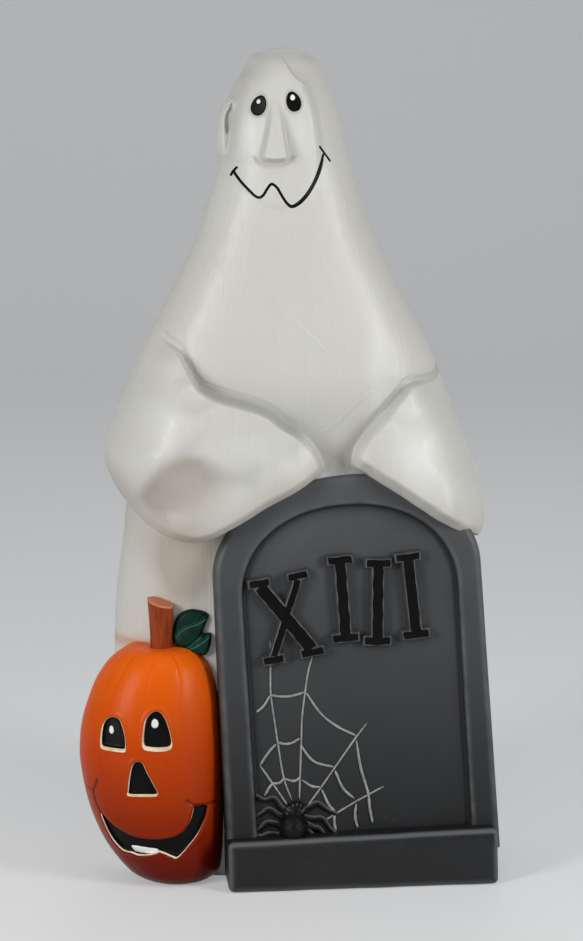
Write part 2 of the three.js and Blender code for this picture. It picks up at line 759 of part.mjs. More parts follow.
function pumpkin(inset, rows, count) {
  const skin = pumpkinBody(inset, rows, count);
  return pressed(skin, pumpkinBody(inset + CARVING_SINK, rows, count), carvings(inset));
}

function stem(inset) {
  const rings = [];
  const [rows, count] = [6, STEM_FLUTES * 4];
  const foot = PUMPKIN_HEIGHT - STEM_SEAT;
  for (let row = 0; row <= rows; row++) {
    const share = row / rows;
    const flare = 1 + 0.2 * share * share;
    const ring = Array.from({ length: count }, (_, k) => {
      const angle = (2 * Math.PI * k) / count;
      const radius = STEM_RADIUS * flare * (1 + 0.07 * Math.cos(STEM_FLUTES * angle)) - inset;
      const x = STEM_X + radius * Math.cos(angle);
      const slant = -0.36 * radius * Math.cos(angle) * share;
      const z = foot + (STEM_HEIGHT + STEM_SEAT) * share + slant;
      return new THREE.Vector3(x, STEM_Y + radius * Math.sin(angle), z);
    });
    rings.push(ring);
  }
  return solid(loft(rings));
}

// Leaves in relief on the robe, in X and Z
const UPPER_LEAF = {
  left: STEM_X + UPPER_LEAF_OUT,
  low: PUMPKIN_HEIGHT - UPPER_LEAF_DROP,
  width: UPPER_LEAF_WIDTH,
  height: UPPER_LEAF_HEIGHT,
  outline: [
    [0.03, 0.05],
    [0, 0.3],
    [0.05, 0.63],
    [0.24, 0.91],
    [0.54, 1],
    [0.84, 0.95],
    [1, 0.81],
    [0.95, 0.6],
    [0.73, 0.4],
    [0.49, 0.14],
    [0.24, 0],
  ],
};
const LOWER_LEAF = {
  left: STEM_X + LOWER_LEAF_OUT,
  low: PUMPKIN_HEIGHT - LOWER_LEAF_DROP,
  width: LOWER_LEAF_WIDTH,
  height: LOWER_LEAF_HEIGHT,
  outline: [
    [0, 0.24],
    [0.28, 0.6],
    [0.56, 0.92],
    [0.8, 1],
    [1, 0.84],
    [1, 0.4],
    [0.72, 0],
    [0.32, 0.04],
  ],
};

function leaf({ left, low, width, height, outline }, front, back) {
  const line = new THREE.SplineCurve(
    [...outline, outline[0]].map(([x, z]) => new THREE.Vector2(left + width * x, low + height * z)),
  );
  const around = new THREE.Shape(line.getPoints(outline.length * 2).slice(0, -1));
  return roundedPrism(around, front, back, LEAF_THICKNESS / 3);
}

// Spider and web, set against the slab's panel in the slab's own X and Z
const WEB_HUB = [SPIDER_X + 6, SPIDER_Z + 22];
const WEB_ENDS = [
  [-104, 95],
  [-86, 222],
  [-43, 204],
  [10, 130],
  [24, 63],
  [-7, 22],
];
const WEB_RINGS = [0.36, 0.62, 0.88];
const WEB_SAG = 0.86; // how far a ring dips towards the hub between two spokes

function strand(points) {
  const path = new THREE.CatmullRomCurve3(points.map(([x, z]) => new THREE.Vector3(x, PANEL_SINK, z)));
  return solid(bar(path, WEB_STRAND_RADIUS, points.length === 2 ? 1 : 4, 4));
}

function web() {
  const towards = ([x, z], share) => [
    WEB_HUB[0] + (x - WEB_HUB[0]) * share,
    WEB_HUB[1] + (z - WEB_HUB[1]) * share,
  ];
  const spokes = WEB_ENDS.slice(0, -1).map((end) => strand([towards(end, 0.12), towards(end, 1)]));
  const rings = WEB_RINGS.flatMap((share) =>
    WEB_ENDS.slice(1).map((end, k) => {
      const [one, other] = [towards(WEB_ENDS[k], share), towards(end, share)];
      const dip = towards([(one[0] + other[0]) / 2, (one[1] + other[1]) / 2], WEB_SAG);
      return strand([one, dip, other]);
    }),
  );
  return joined([...spokes, ...rings]);
}

const SPIDER_LEGS = [
  [[-2, 12], [-16, 26], [-28, 26], [-38, 32]],
  [[-2, 9], [-18, 7], [-28, 16], [-38, 12]],
  [[-2, 2], [-20, -1], [-38, -4]],
  [[-2, -6], [-16, -13], [-38, -11]],
  [[2, 12], [14, 14], [24, 18], [39, 6]],
  [[2, 4], [20, 3], [32, -4], [40, -14]],
  [[2, -4], [18, -8], [26, -12], [34, -20]],
];

function spider(grow) {
  const upright = (radius) => solid(new THREE.SphereGeometry(radius, 12, 7).rotateX(Math.PI / 2));
  const head = upright(SPIDER_RADIUS * 0.62 + grow).translate([0, 0, SPIDER_RADIUS]);
  const round = upright(SPIDER_RADIUS + grow).scale([1, 0.8, 1.15]);
  const legs = SPIDER_LEGS.map((points) => {
    const path = new THREE.CatmullRomCurve3(points.map(([x, z]) => new THREE.Vector3(x, 0, z)));
    return solid(bar(path, SPIDER_LEG_RADIUS + grow, 5, 4));
  });
  const body = head.add(round).translate([0, 0, -3]);
  return joined([body, ...legs]).translate([SPIDER_X, PANEL_SINK, SPIDER_Z]);
}

// Lamp holder: its axis runs along Y, in through the hole in the back
const padY = ROBE_BACK - PAD_DEPTH;
const seatY = padY + SEAM_GAP;
const mouthY = seatY - HOLDER_LENGTH;
const shellY = mouthY + 1.5;
const boreEndY = shellY + SCREW_SHELL_LENGTH + CONTACT_THICKNESS + 3 * SEAM_GAP;
const contactY = boreEndY - SEAM_GAP - CONTACT_THICKNESS;
const bulbTipY = contactY - SEAM_GAP;
const bulbBaseEndY = bulbTipY - 2.6;
const bulbNeckY = bulbBaseEndY - BULB_BASE_LENGTH;
const bulbNoseY = bulbNeckY - BULB_LENGTH;
const atLamp = (geometry) => geometry.translate(LAMP_X, 0, LAMP_Z);
const rod = (radius, from, to, sides = 32) =>
  solid(
    atLamp(
      new THREE.CylinderGeometry(radius, radius, to - from, sides).translate(0, (from + to) / 2, 0),
    ),
  );

function holderBody() {
  const edge = 0.8;
  return turned(
    [
      [0, boreEndY],
      [SCREW_SHELL_RADIUS + SEAM_GAP, boreEndY],
      [SCREW_SHELL_RADIUS + SEAM_GAP, mouthY],
      [HOLDER_RADIUS, mouthY],
      [HOLDER_RADIUS, seatY],
      [FLANGE_RADIUS, seatY],
      [FLANGE_RADIUS, seatY + FLANGE_THICKNESS - edge],
      [FLANGE_RADIUS - edge, seatY + FLANGE_THICKNESS],
      [0, seatY + FLANGE_THICKNESS],
    ],
    28,
  );
}

function holderCap() {
  const foot = seatY + FLANGE_THICKNESS + SEAM_GAP;
  const top = foot + CAP_HEIGHT;
  const end = top + GLAND_LENGTH;
  return turned(
    [
      [0, foot],
      [CAP_RADIUS, foot],
      [CAP_RADIUS - 1, foot + CAP_HEIGHT * 0.6],
      [GLAND_RADIUS + 2, top],
      [GLAND_RADIUS, top],
      [GLAND_RADIUS, end],
      [CORD_HOLE_RADIUS, end],
      [CORD_HOLE_RADIUS, end - CORD_HOLE_DEPTH],
      [0, end - CORD_HOLE_DEPTH],
    ],
    24,
  );
}

function tube(radius, wall, from, to, sides) {
  return turned(
    [
      [radius, from],
      [radius, to],
      [radius - wall, to],
      [radius - wall, from],
      [radius, from],
    ],
    sides,
  );
}

// A spring clip beside the holder, on the side that points along X
function clip(side) {
  const inHole = LAMP_HOLE_RADIUS - 1.6;
  const path = [
    [HOLDER_RADIUS + 1, mouthY + 4],
    [HOLDER_RADIUS + 2.4, mouthY + 12],
    [LAMP_HOLE_RADIUS + CLIP_BOW - CLIP_THICKNESS / 2, padY - 9],
    [inHole, padY - 3.4],
    [inHole, padY - CLIP_THICKNESS],
  ];
  const outline = ribbon(path, CLIP_THICKNESS, 14);
  const geometry = new THREE.ExtrudeGeometry(outline, { depth: CLIP_WIDTH, bevelEnabled: false });
  geometry.translate(0, 0, -CLIP_WIDTH / 2).rotateY(side > 0 ? 0 : Math.PI);
  return solid(atLamp(geometry));
}

function bulbGlass() {
  const outline = [
    [1, 0.16],
    [1, 0],
    [1.16, -0.06],
    [1.62, -0.24],
    [1.85, -0.44],
    [1.78, -0.6],
    [1.4, -0.78],
    [0.8, -0.93],
    [0.3, -0.99],
  ];
  const neck = BULB_BASE_RADIUS - 1;
  const grow = (BULB_RADIUS / neck - 1) / 0.85;
  const outer = outline.map(([reach, along]) => [
    neck * (1 + (reach - 1) * grow),
    bulbNeckY + along * BULB_LENGTH,
  ]);
  const inner = outer.map(([radius, y], k) => [
    Math.max(radius - BULB_WALL, 0.4),
    y + (k > 5 ? BULB_WALL : 0),
  ]);
  return turned([[0, bulbNoseY], ...outer.reverse(), ...inner, [0, bulbNoseY + BULB_WALL + 0.6]], 14);
}

function bulbMount() {
  const stem = turned(
    [
      [0, bulbNeckY - 14],
      [1.6, bulbNeckY - 13],
      [2, bulbNeckY - 2],
      [3.4, bulbNeckY + 5],
      [0, bulbNeckY + 5],
    ],
    12,
  );
  const wires = [
    [0.8, -12],
    [4, -19],
    [4.4, -23],
    [0, -24.5],
    [-4.4, -23],
    [-4, -19],
    [-0.8, -12],
  ];
  const path = new THREE.CatmullRomCurve3(wires.map(([x, y]) => new THREE.Vector3(x, bulbNeckY + y, 0)));
  return solid(stem).add(solid(bar(path, FILAMENT_RADIUS, 18, 5)));
}

// The figure's skin: everything outside less everything inside
const GHOST_OUTER = [20, 32];
const PUMPKIN_OUTER = [12, 36];
const outside = {
  ghost: carvedGhost(...GHOST_OUTER),
  gravestone: gravestone(0),
  pumpkin: pumpkin(0, ...PUMPKIN_OUTER),
};
const inside = {
  ghost: ghost(WALL, 12, 20).add(nose(WALL, 4, 8)),
  gravestone: gravestone(WALL),
  pumpkin: pumpkin(WALL, 10, 20),
};
const padCut = rod(PAD_RADIUS, padY, ROBE_BACK + 20);
const padWall = rod(PAD_RADIUS + WALL, padY - WALL, ROBE_BACK + 20);
const skin = outside.ghost
  .subtract(padCut)
  .add(outside.gravestone)
  .add(outside.pumpkin)
  .subtract(inside.ghost.subtract(padWall).add(inside.gravestone).add(inside.pumpkin))
  .subtract(rod(LAMP_HOLE_RADIUS, padY - WALL - 10, ROBE_BACK + 20));

// Each coloured region keeps clear of its neighbour by a hair, and the back half is one plain moulding
const beyondStone = gravestone(-SEAM_GAP);
const beyondPumpkin = pumpkinBody(-SEAM_GAP, ...PUMPKIN_OUTER);
const beyondGhost = ghost(-SEAM_GAP, ...GHOST_OUTER);
const beyondFruit = beyondPumpkin.add(beyondStone);
const slice = (from, to) => {
  const reach = 2000;
  return solid(new THREE.BoxGeometry(reach, to - from, reach).translate(0, (from + to) / 2, 0));
};
const frontHalf = skin.intersect(slice(-500, PARTING_Y - SEAM_GAP / 2));
const backShell = skin.intersect(slice(PARTING_Y + SEAM_GAP / 2, 500));
const frontShell = frontHalf.subtract(beyondStone).subtract(beyondPumpkin);
const pumpkinShell = frontHalf.intersect(outside.pumpkin).subtract(beyondStone);
const gravestoneShell = frontHalf.intersect(outside.gravestone);

const upperLeaf = leaf(UPPER_LEAF, UPPER_LEAF_FRONT, UPPER_LEAF_FRONT + 2 * LEAF_THICKNESS);
const lowerLeaf = leaf(LOWER_LEAF, LOWER_LEAF_FRONT, LOWER_LEAF_FRONT + 2 * LEAF_THICKNESS);
const beyondUpperLeaf = leaf(UPPER_LEAF, UPPER_LEAF_FRONT - 20, PARTING_Y);

const parts = {
  front_shell: [frontShell, GHOST_WHITE],
  back_shell: [backShell, GHOST_WHITE],
  gravestone: [gravestoneShell, STONE_GREY],
  pumpkin: [pumpkinShell, PUMPKIN_ORANGE],
  pumpkin_stem: [stem(0).subtract(beyondPumpkin).subtract(beyondGhost), STEM_BROWN],
  pumpkin_leaf_upper: [
    upperLeaf.subtract(beyondGhost).subtract(stem(-SEAM_GAP)).subtract(beyondFruit),
    LEAF_GREEN,
  ],
  pumpkin_leaf_lower: [
    lowerLeaf.subtract(beyondGhost).subtract(beyondUpperLeaf).subtract(beyondFruit),
    LEAF_GREEN,
  ],
  spider: [stood(spider(0)).subtract(beyondStone), SPIDER_BLACK],
  spider_web: [stood(web()).subtract(beyondStone).subtract(stood(spider(SEAM_GAP))), WEB_GREY],
  lamp_holder_body: [solid(atLamp(holderBody())), HOLDER_BLACK],
  lamp_holder_cap: [solid(atLamp(holderCap())), HOLDER_BLACK],
  holder_clip_left: [clip(-1), SPRING_STEEL],
  holder_clip_right: [clip(1), SPRING_STEEL],
  holder_screw_shell: [
    solid(atLamp(tube(SCREW_SHELL_RADIUS, SCREW_SHELL_WALL, shellY, shellY + SCREW_SHELL_LENGTH, 20))),
    BRASS,
  ],
  holder_centre_contact: [rod(CONTACT_RADIUS, contactY, contactY + CONTACT_THICKNESS, 12), BRASS],
  bulb_screw_base: [solid(atLamp(tube(BULB_BASE_RADIUS, 0.5, bulbNeckY, bulbBaseEndY, 20))), BRASS],
  bulb_base_insulator: [
    solid(
      atLamp(
        turned(
          [
            [0, bulbBaseEndY + 0.3],
            [5.4, bulbBaseEndY + 0.3],
            [2.4, bulbBaseEndY + 1.8],
            [0, bulbBaseEndY + 1.8],
          ],
          14,
        ),
      ),
    ),
    HOLDER_BLACK,
  ],
  bulb_contact_tip: [rod(2, bulbBaseEndY + 2.1, bulbTipY, 10), SOLDER],
  bulb_glass: [solid(atLamp(bulbGlass())), CLEAR_GLASS],
  bulb_stem_and_filament: [bulbMount().translate([LAMP_X, 0, LAMP_Z]), SPRING_STEEL],
};

const figure = new THREE.Group();
for (const [name, [shape, material]] of Object.entries(parts)) {
  figure.add(piece(name, largest(shape), material));
}

export default figure;
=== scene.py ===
import math

import bmesh
import bpy
import numpy as np
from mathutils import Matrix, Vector


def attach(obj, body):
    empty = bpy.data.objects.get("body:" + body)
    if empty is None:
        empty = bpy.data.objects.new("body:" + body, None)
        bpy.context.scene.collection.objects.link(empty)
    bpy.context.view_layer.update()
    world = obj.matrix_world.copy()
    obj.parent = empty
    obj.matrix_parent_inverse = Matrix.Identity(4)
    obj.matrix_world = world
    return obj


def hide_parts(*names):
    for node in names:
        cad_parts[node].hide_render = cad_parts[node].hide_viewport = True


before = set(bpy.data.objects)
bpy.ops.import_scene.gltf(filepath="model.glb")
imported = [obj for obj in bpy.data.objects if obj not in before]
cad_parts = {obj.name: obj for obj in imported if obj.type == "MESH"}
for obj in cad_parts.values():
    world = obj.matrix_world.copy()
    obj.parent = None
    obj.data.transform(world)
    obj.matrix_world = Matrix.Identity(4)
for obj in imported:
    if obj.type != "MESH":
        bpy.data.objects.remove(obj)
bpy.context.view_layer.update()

MM = 0.001
WELD_GAP = 0.02 * MM

# Places that the solids share, in millimetres
PARTING_Y = 20
SLAB_X, SLAB_Y, SLAB_Z = 67.5, -103, 40
SLAB_TILT = math.radians(3.1)
SLAB_LEAN = math.radians(4)
SLAB_HALF, SLAB_DRAFT, SLAB_HIGH, SLAB_RISE, SLAB_FOOT = 142.5, 4, 391, 101, -12
SLAB_BACK, PLINTH_BACK = 25, 58
PANEL_HALF, PANEL_HIGH, PANEL_RISE, PANEL_SINK = 112, 359.5, 92, 7
PUMPKIN_Y = -47
PUMPKIN_HIGH = 252
STEM_X, STEM_Y = -142, -58
LAMP_X, LAMP_Z, LAMP_HOLE = -20, 250, 19
PAD_Y, PAD_RADIUS = 113, 36
CROWN_FROM, CROWN_TOP = 825, 863.0
SMOOTHING, SMOOTHING_REACH = 7.0, 16
# The thinnest that counts as shape, a guard against dividing by nothing, and a distance past any line
THINNEST, TINY, FAR = 0.25, 1e-12, 50


# Lines and fields
def spline(points, closed=False, per=8):
    """A smooth line through the points."""
    p = np.array(points, float)
    if closed:
        p = np.vstack([p[-1:], p, p[:2]])
    else:
        p = np.vstack([2 * p[0] - p[1], p, 2 * p[-1] - p[-2]])
    t = np.linspace(0, 1, per, endpoint=False)[:, None]
    out = []
    for a, b, c, d in zip(p, p[1:], p[2:], p[3:]):
        cubed = (3 * b - a - 3 * c + d) * t**3
        out.append(0.5 * (2 * b + (c - a) * t + (2 * a - 5 * b + 4 * c - d) * t**2 + cubed))
    if not closed:
        out.append(p[-2:-1])
    return np.vstack(out)


def segments(line, x, z, closed=False):
    """Each straight piece of a line: its ends and run, and how far each point is from it, squared."""
    a = np.asarray(line, float)
    for (ax, az), (bx, bz) in zip(a, np.roll(a, -1, 0) if closed else a[1:]):
        dx, dz = bx - ax, bz - az
        t = np.clip(((x - ax) * dx + (z - az) * dz) / (dx * dx + dz * dz + TINY), 0, 1)
        yield ax, az, bz, dx, dz, (x - ax - t * dx) ** 2 + (z - az - t * dz) ** 2


def away(line, x, z, closed=False):
    """Distance of each point from a line, negative inside a closed one."""
    best = np.full(x.shape, np.inf)
    inside = np.zeros(x.shape, bool)
    for ax, az, bz, dx, dz, squared in segments(line, x, z, closed):
        best = np.minimum(best, squared)
        if closed and az != bz:
            inside ^= ((az > z) != (bz > z)) & (x < dx * (z - az) / (dz or 1) + ax)
    best = np.sqrt(best)
    return np.where(inside, -best, best)


def sided(line, x, z):
    """Distance from an open line, positive on its right."""
    best = np.full(x.shape, np.inf)
    side = np.ones(x.shape)
    for ax, az, _, dx, dz, squared in segments(line, x, z):
        nearer = squared < best
        best = np.where(nearer, squared, best)
        side = np.where(nearer, np.sign(dz * (x - ax) - dx * (z - az)), side)
    return np.sqrt(best) * side


def within(points, x, z, per=4):
    """Distance from a smooth closed line, negative inside it."""
    return away(spline(points, True, per), x, z, True)


def beside(points, x, z, per=8):
    """Distance from a smooth open line, positive on its right."""
    return sided(spline(points, per=per), x, z)


def turned(a, b, angle):
    c, s = math.cos(angle), math.sin(angle)
    return a * c + b * s, b * c - a * s


def rounding(s, radius, power=2.0):
    """0 at an edge, rising to 1 over the radius as a round edge does."""
    t = np.clip(s / radius, 0, 1)
    return (1 - (1 - t) ** power) ** (1 / power)


def step(s, low, high):
    t = np.clip((s - low) / (high - low), 0, 1)
    return t * t * (3 - 2 * t)


def bump(s, width):
    return np.exp(-((s / width) ** 2))


def oval(x, z, cx, cz, wide, tall):
    """Distance from a middle, 1 on the oval itself."""
    return np.sqrt(((x - cx) / wide) ** 2 + ((z - cz) / tall) ** 2)


def hill(x, z, cx, cz, wide, tall):
    return np.exp(-(((x - cx) / wide) ** 2) - ((z - cz) / tall) ** 2)


def smooth_max(a, b, k):
    k = np.minimum(k, np.maximum(a, b) * 0.6 + 1e-6)
    h = np.clip(k - np.abs(a - b), 0, None) / k
    return np.maximum(a, b) + h * h * k * 0.25


def spread(points, x, z, reach):
    """A value blended between named places: rows of x, z, value."""
    total = np.zeros(x.shape)
    weight = np.zeros(x.shape)
    for px, pz, value in points:
        w = 1 / (((x - px) ** 2 + (z - pz) ** 2) / reach**2 + 0.15) ** 2
        total += w * value
        weight += w
    return total / weight


# Mesh making
def mesh_object(name, verts, faces, materials, picks=None, layers=None):
    mesh = bpy.data.meshes.new(name)
    mesh.from_pydata([tuple(v) for v in np.asarray(verts) * MM], [], [list(f) for f in faces])
    for m in materials:
        mesh.materials.append(m)
    if picks is not None:
        mesh.polygons.foreach_set("material_index", np.asarray(picks, np.int32))
    for key, values in (layers or {}).items():
        layer = mesh.attributes.new(key, "FLOAT", "POINT")
        layer.data.foreach_set("value", np.asarray(values, np.float32))
    mesh.polygons.foreach_set("use_smooth", np.ones(len(mesh.polygons), bool))
    mesh.validate()
    obj = bpy.data.objects.new(name, mesh)
    bpy.context.scene.collection.objects.link(obj)
    return obj


def weld(obj):
    b = bmesh.new()
    b.from_mesh(obj.data)
    bmesh.ops.remove_doubles(b, verts=b.verts, dist=WELD_GAP)
    bmesh.ops.dissolve_degenerate(b, edges=b.edges, dist=WELD_GAP / 2)
    b.to_mesh(obj.data)
    b.free()
    return obj


def tiled(name, grid, materials, masks=(), layers=None, closed=False, drop=None):
    """A sheet over a grid of points. Inside a mask's zero line it takes the next material, and
    cells that a line crosses are cut along it. Faces whose pick is drop are left out."""
    rows, cols = grid.shape[:2]
    layers = layers or {}
    columns = [np.asarray(m, float).reshape(-1, 1) for m in (*masks, *layers.values())]
    data = np.hstack([grid.reshape(-1, 3), *columns])
    wrap = cols if closed else cols - 1
    index = np.arange(rows * cols).reshape(rows, cols)
    right = (np.arange(wrap) + 1) % cols
    quads = [index[:-1, :wrap], index[:-1][:, right], index[1:][:, right], index[1:, :wrap]]
    quads = np.stack(quads, -1).reshape(-1, 4)
    count = len(masks)
    inside = data[:, 3 : 3 + count] < 0
    corner = inside[quads]
    mixed = (corner.any(1) & ~corner.all(1)).any(1) if count else np.zeros(len(quads), bool)
    label = np.zeros(len(quads), int)
    for k in range(count):
        label[corner[:, :, k].all(1)] = k + 1
    faces = quads[~mixed].tolist()
    picks = label[~mixed].tolist()
    rowsout = [data]
    made = {}
    size = len(data)
    for quad in quads[mixed]:
        polygons = [[data[i] for i in quad]]
        for k in range(count):
            parts = []
            for polygon in polygons:
                signs = [p[3 + k] < 0 for p in polygon]
                if all(signs) or not any(signs):
                    parts.append(polygon)
                    continue
                within, beyond = [], []
                for i, p in enumerate(polygon):
                    q = polygon[(i + 1) % len(polygon)]
                    (within if signs[i] else beyond).append(p)
                    if signs[i] != signs[(i + 1) % len(polygon)]:
                        first, second = (p, q) if tuple(p[:3]) < tuple(q[:3]) else (q, p)
                        share = first[3 + k] / (first[3 + k] - second[3 + k])
                        cut = first + (second - first) * share
                        cut[3 + k] = 0
                        within.append(cut)
                        beyond.append(cut)
                parts += [part for part in (within, beyond) if len(part) > 2]
            polygons = parts
        for polygon in polygons:
            face = []
            for p in polygon:
                key = tuple(np.round(p[:3], 5))
                if key not in made:
                    made[key] = size
                    rowsout.append(p[None])
                    size += 1
                if made[key] not in face:
                    face.append(made[key])
            if len(face) > 2:
                middle = np.mean([p[3 : 3 + count] for p in polygon], 0)
                inner = [k + 1 for k in range(count) if middle[k] < 0]
                faces.append(face)
                picks.append(max(inner) if inner else 0)
    data = np.vstack(rowsout)
    if drop is not None:
        kept = [i for i, pick in enumerate(picks) if pick != drop]
        faces = [faces[i] for i in kept]
        picks = [picks[i] for i in kept]
    used = np.unique(np.concatenate([np.array(f) for f in faces]))
    place = np.full(len(data), -1)
    place[used] = np.arange(len(used))
    faces = [[int(place[i]) for i in f] for f in faces]
    shown = {k: data[used, 3 + count + i] for i, k in enumerate(layers)}
    picks = [min(p, len(materials) - 1) for p in picks]
    return weld(mesh_object(name, data[used, :3], faces, materials, picks, shown))


def tube(name, points, radius, material, sides):
    """A round bar along points, with a radius for each."""
    p = np.asarray(points, float)
    along = np.gradient(p, axis=0)
    along /= np.linalg.norm(along, axis=1)[:, None] + 1e-9
    side = np.cross(along[0], [0.1, 1, 0.2])
    side /= np.linalg.norm(side)
    turn = np.linspace(0, 2 * math.pi, sides, endpoint=False)[:, None]
    rings = []
    for k in range(len(p)):
        side = side - along[k] * side.dot(along[k])
        side /= np.linalg.norm(side)
        up = np.cross(along[k], side)
        rings.append(p[k] + radius[k] * (np.cos(turn) * side + np.sin(turn) * up))
    faces = []
    for k in range(len(p) - 1):
        for s in range(sides):
            n = (s + 1) % sides
            faces.append([k * sides + s, k * sides + n, (k + 1) * sides + n, (k + 1) * sides + s])
    faces.append(list(range(sides))[::-1])
    faces.append([(len(p) - 1) * sides + s for s in range(sides)])
    return mesh_object(name, np.vstack(rings), faces, [material])


def joined(name, objects):
    """One object of several."""
    bpy.ops.object.select_all(action="DESELECT")
    for o in objects:
        o.select_set(True)
    bpy.context.view_layer.objects.active = objects[0]
    bpy.ops.object.join()
    objects[0].name = name
    return objects[0]


def stand(points):
    """From the slab's own upright frame, x across, y back and z up, to where it stands."""
    x, y, z = np.moveaxis(np.asarray(points, float), -1, 0)
    y, z = turned(y, z, SLAB_LEAN)
    x, z = turned(x, z, -SLAB_TILT)
    return np.stack([x + SLAB_X, y + SLAB_Y, z + SLAB_Z], -1)


def unstand(points):
    """The reverse of stand."""
    x, y, z = np.moveaxis(np.asarray(points, float) - [SLAB_X, SLAB_Y, SLAB_Z], -1, 0)
    x, z = turned(x, z, SLAB_TILT)
    y, z = turned(y, z, -SLAB_LEAN)
    return np.stack([x, y, z], -1)


# Materials
class Finish:
    """A material's nodes, added one after another over a base colour."""

    def __init__(self, name, base, roughness=0.5, metallic=0.0, coat=0.0, ior=1.5):
        self.colour = base
        self.material = bpy.data.materials.new(name)
        self.material.use_nodes = True
        self.tree = self.material.node_tree
        self.shader = self.tree.nodes["Principled BSDF"]
        for key, value in {"Roughness": roughness, "Metallic": metallic, "Coat Weight": coat,
                           "Coat Roughness": 0.2, "IOR": ior}.items():
            self.shader.inputs[key].default_value = value

    def node(self, kind, **inputs):
        n = self.tree.nodes.new(kind)
        for key, value in inputs.items():
            self.put(n.inputs[key], value)
        return n

    def put(self, socket, value):
        if isinstance(value, bpy.types.NodeSocket):
            self.tree.links.new(value, socket)
        else:
            socket.default_value = value

    def place(self):
        return self.node("ShaderNodeTexCoord").outputs["Object"]

    def noise(self, scale, stretch=(1, 1, 1), detail=4.0, rough=0.55):
        scaled = self.node("ShaderNodeMapping", Vector=self.place(), Scale=stretch).outputs[0]
        made = self.node("ShaderNodeTexNoise", Vector=scaled, Scale=scale, Detail=detail, Roughness=rough)
        return made.outputs["Fac"]

    def layer(self, name):
        n = self.node("ShaderNodeAttribute")
        n.attribute_name = name
        return n.outputs["Fac"]

    def reach(self, value, low, high, to_low=0.0, to_high=1.0):
        n = self.node("ShaderNodeMapRange", Value=value)
        for i, v in zip((1, 2, 3, 4), (low, high, to_low, to_high)):
            n.inputs[i].default_value = v
        return n.outputs[0]

    def mix(self, share, a, b):
        n = self.tree.nodes.new("ShaderNodeMix")
        n.data_type = "RGBA"
        self.put(n.inputs[0], share)
        for socket, colour in ((n.inputs[6], a), (n.inputs[7], b)):
            self.put(socket, colour if isinstance(colour, bpy.types.NodeSocket) else (*colour, 1))
        return n.outputs[2]

    def over(self, share, colour):
        """Lays a colour over the rest by a share, or by a layer of the mesh."""
        self.colour = self.mix(self.layer(share) if isinstance(share, str) else share, self.colour, colour)

    def reckon(self, operation, *values):
        n = self.tree.nodes.new("ShaderNodeMath")
        n.operation = operation
        for socket, value in zip(n.inputs, values):
            self.put(socket, value)
        return n.outputs[0]

    def sums(self, *parts):
        total = 0.0
        for value, weight in parts:
            total = self.reckon("MULTIPLY_ADD", value, weight, total)
        return total

    def times(self, a, b):
        return self.reckon("MULTIPLY", a, b)

    def high(self):
        return self.node("ShaderNodeSeparateXYZ", Vector=self.place()).outputs["Z"]

    def done(self, roughness=None, height=None, strength=0.3, distance=0.001):
        self.put(self.shader.inputs["Base Color"], self.colour)
        if roughness is not None:
            self.put(self.shader.inputs["Roughness"], roughness)
        if height is not None:
            n = self.node("ShaderNodeBump", Height=height, Strength=strength, Distance=distance)
            self.put(self.shader.inputs["Normal"], n.outputs[0])
        return self.material


def ghost_paint():
    f = Finish("ghost_paint", (0.60, 0.592, 0.555), coat=0.08)
    streaks = f.noise(9, (26, 26, 0.9), detail=5, rough=0.6)
    fine = f.noise(60, (9, 9, 0.5), detail=3)
    cloud = f.noise(6, (1, 1, 0.6), detail=3)
    cream = (0.535, 0.51, 0.455)
    f.over(f.reach(cloud, 0.42, 0.68, 0, 0.5), cream)
    f.over(f.reach(streaks, 0.52, 0.72, 0, 0.3), cream)
    # Painted highlight: lighter paint where the white is to look lit brightest
    f.over("painted_highlight", (0.75, 0.745, 0.71))
    # Painted shadow in hollows and under the sleeves, with a tan tint
    f.over("painted_shadow_and_tint", (0.36, 0.325, 0.26))
    # Painted shade in creases, round the face and eyes and under the nose
    f.over("painted_shade", (0.40, 0.395, 0.37))
    f.over("overspray", (0.50, 0.20, 0.07))
    height = f.sums((streaks, 1.0), (fine, 0.35), (f.noise(240, detail=2), 0.25))
    return f.done(f.reach(streaks, 0.3, 0.7, 0.4, 0.55), height, 0.6, 0.0011)


def ghost_plain():
    f = Finish("ghost_plain_plastic", (0.61, 0.60, 0.565))
    cloud = f.noise(5, (1, 1, 0.5), detail=3)
    f.over(f.reach(cloud, 0.4, 0.7), (0.56, 0.545, 0.505))
    # Painted shade round the lamp pad's edge, and darker towards the bottom
    f.over("painted_shade", (0.43, 0.41, 0.38))
    height = f.sums((f.noise(320, detail=2), 0.5), (f.noise(14, (8, 8, 0.8)), 0.6))
    return f.done(f.reach(cloud, 0.3, 0.7, 0.42, 0.55), height, 0.25, 0.0006)


def black_paint(name, streak=(1, 1, 1)):
    f = Finish(name, (0.002, 0.002, 0.0022), ior=1.22)
    worn = f.noise(70, streak, detail=5, rough=0.7)
    f.over(f.reach(worn, 0.55, 0.8, 0, 0.25), (0.022, 0.022, 0.024))
    return f.done(f.reach(worn, 0.35, 0.7, 0.36, 0.55), f.noise(160, streak, detail=3), 0.3, 0.0006)


def stone_paint():
    f = Finish("stone_paint", (0.0125, 0.0128, 0.0135), ior=1.33)
    cloud = f.noise(7, detail=4)
    grain = f.noise(120, detail=4, rough=0.65)
    # Lighter towards the top: painted light, falling off downwards
    f.over(f.reach(f.high(), 0.07, 0.42), (0.083, 0.087, 0.092))
    f.over(f.reach(cloud, 0.4, 0.7, 0, 0.45), (0.024, 0.0255, 0.027))
    f.over("wear", (0.15, 0.155, 0.16))
    # Painted shade in the panel's groove and on the plinth's ledge, and darker at the foot
    f.over("painted_shade", (0.009, 0.0095, 0.0105))
    specks = f.reach(f.noise(420, detail=1), 0.77, 0.81)
    f.over(f.times(specks, f.reach(cloud, 0.52, 0.66, 0, 0.5)), (0.3, 0.3, 0.3))
    height = f.sums((grain, 0.6), (cloud, 0.8), (f.noise(26, detail=3), 0.8))
    return f.done(f.reach(grain, 0.35, 0.7, 0.38, 0.56), height, 0.35, 0.0009)


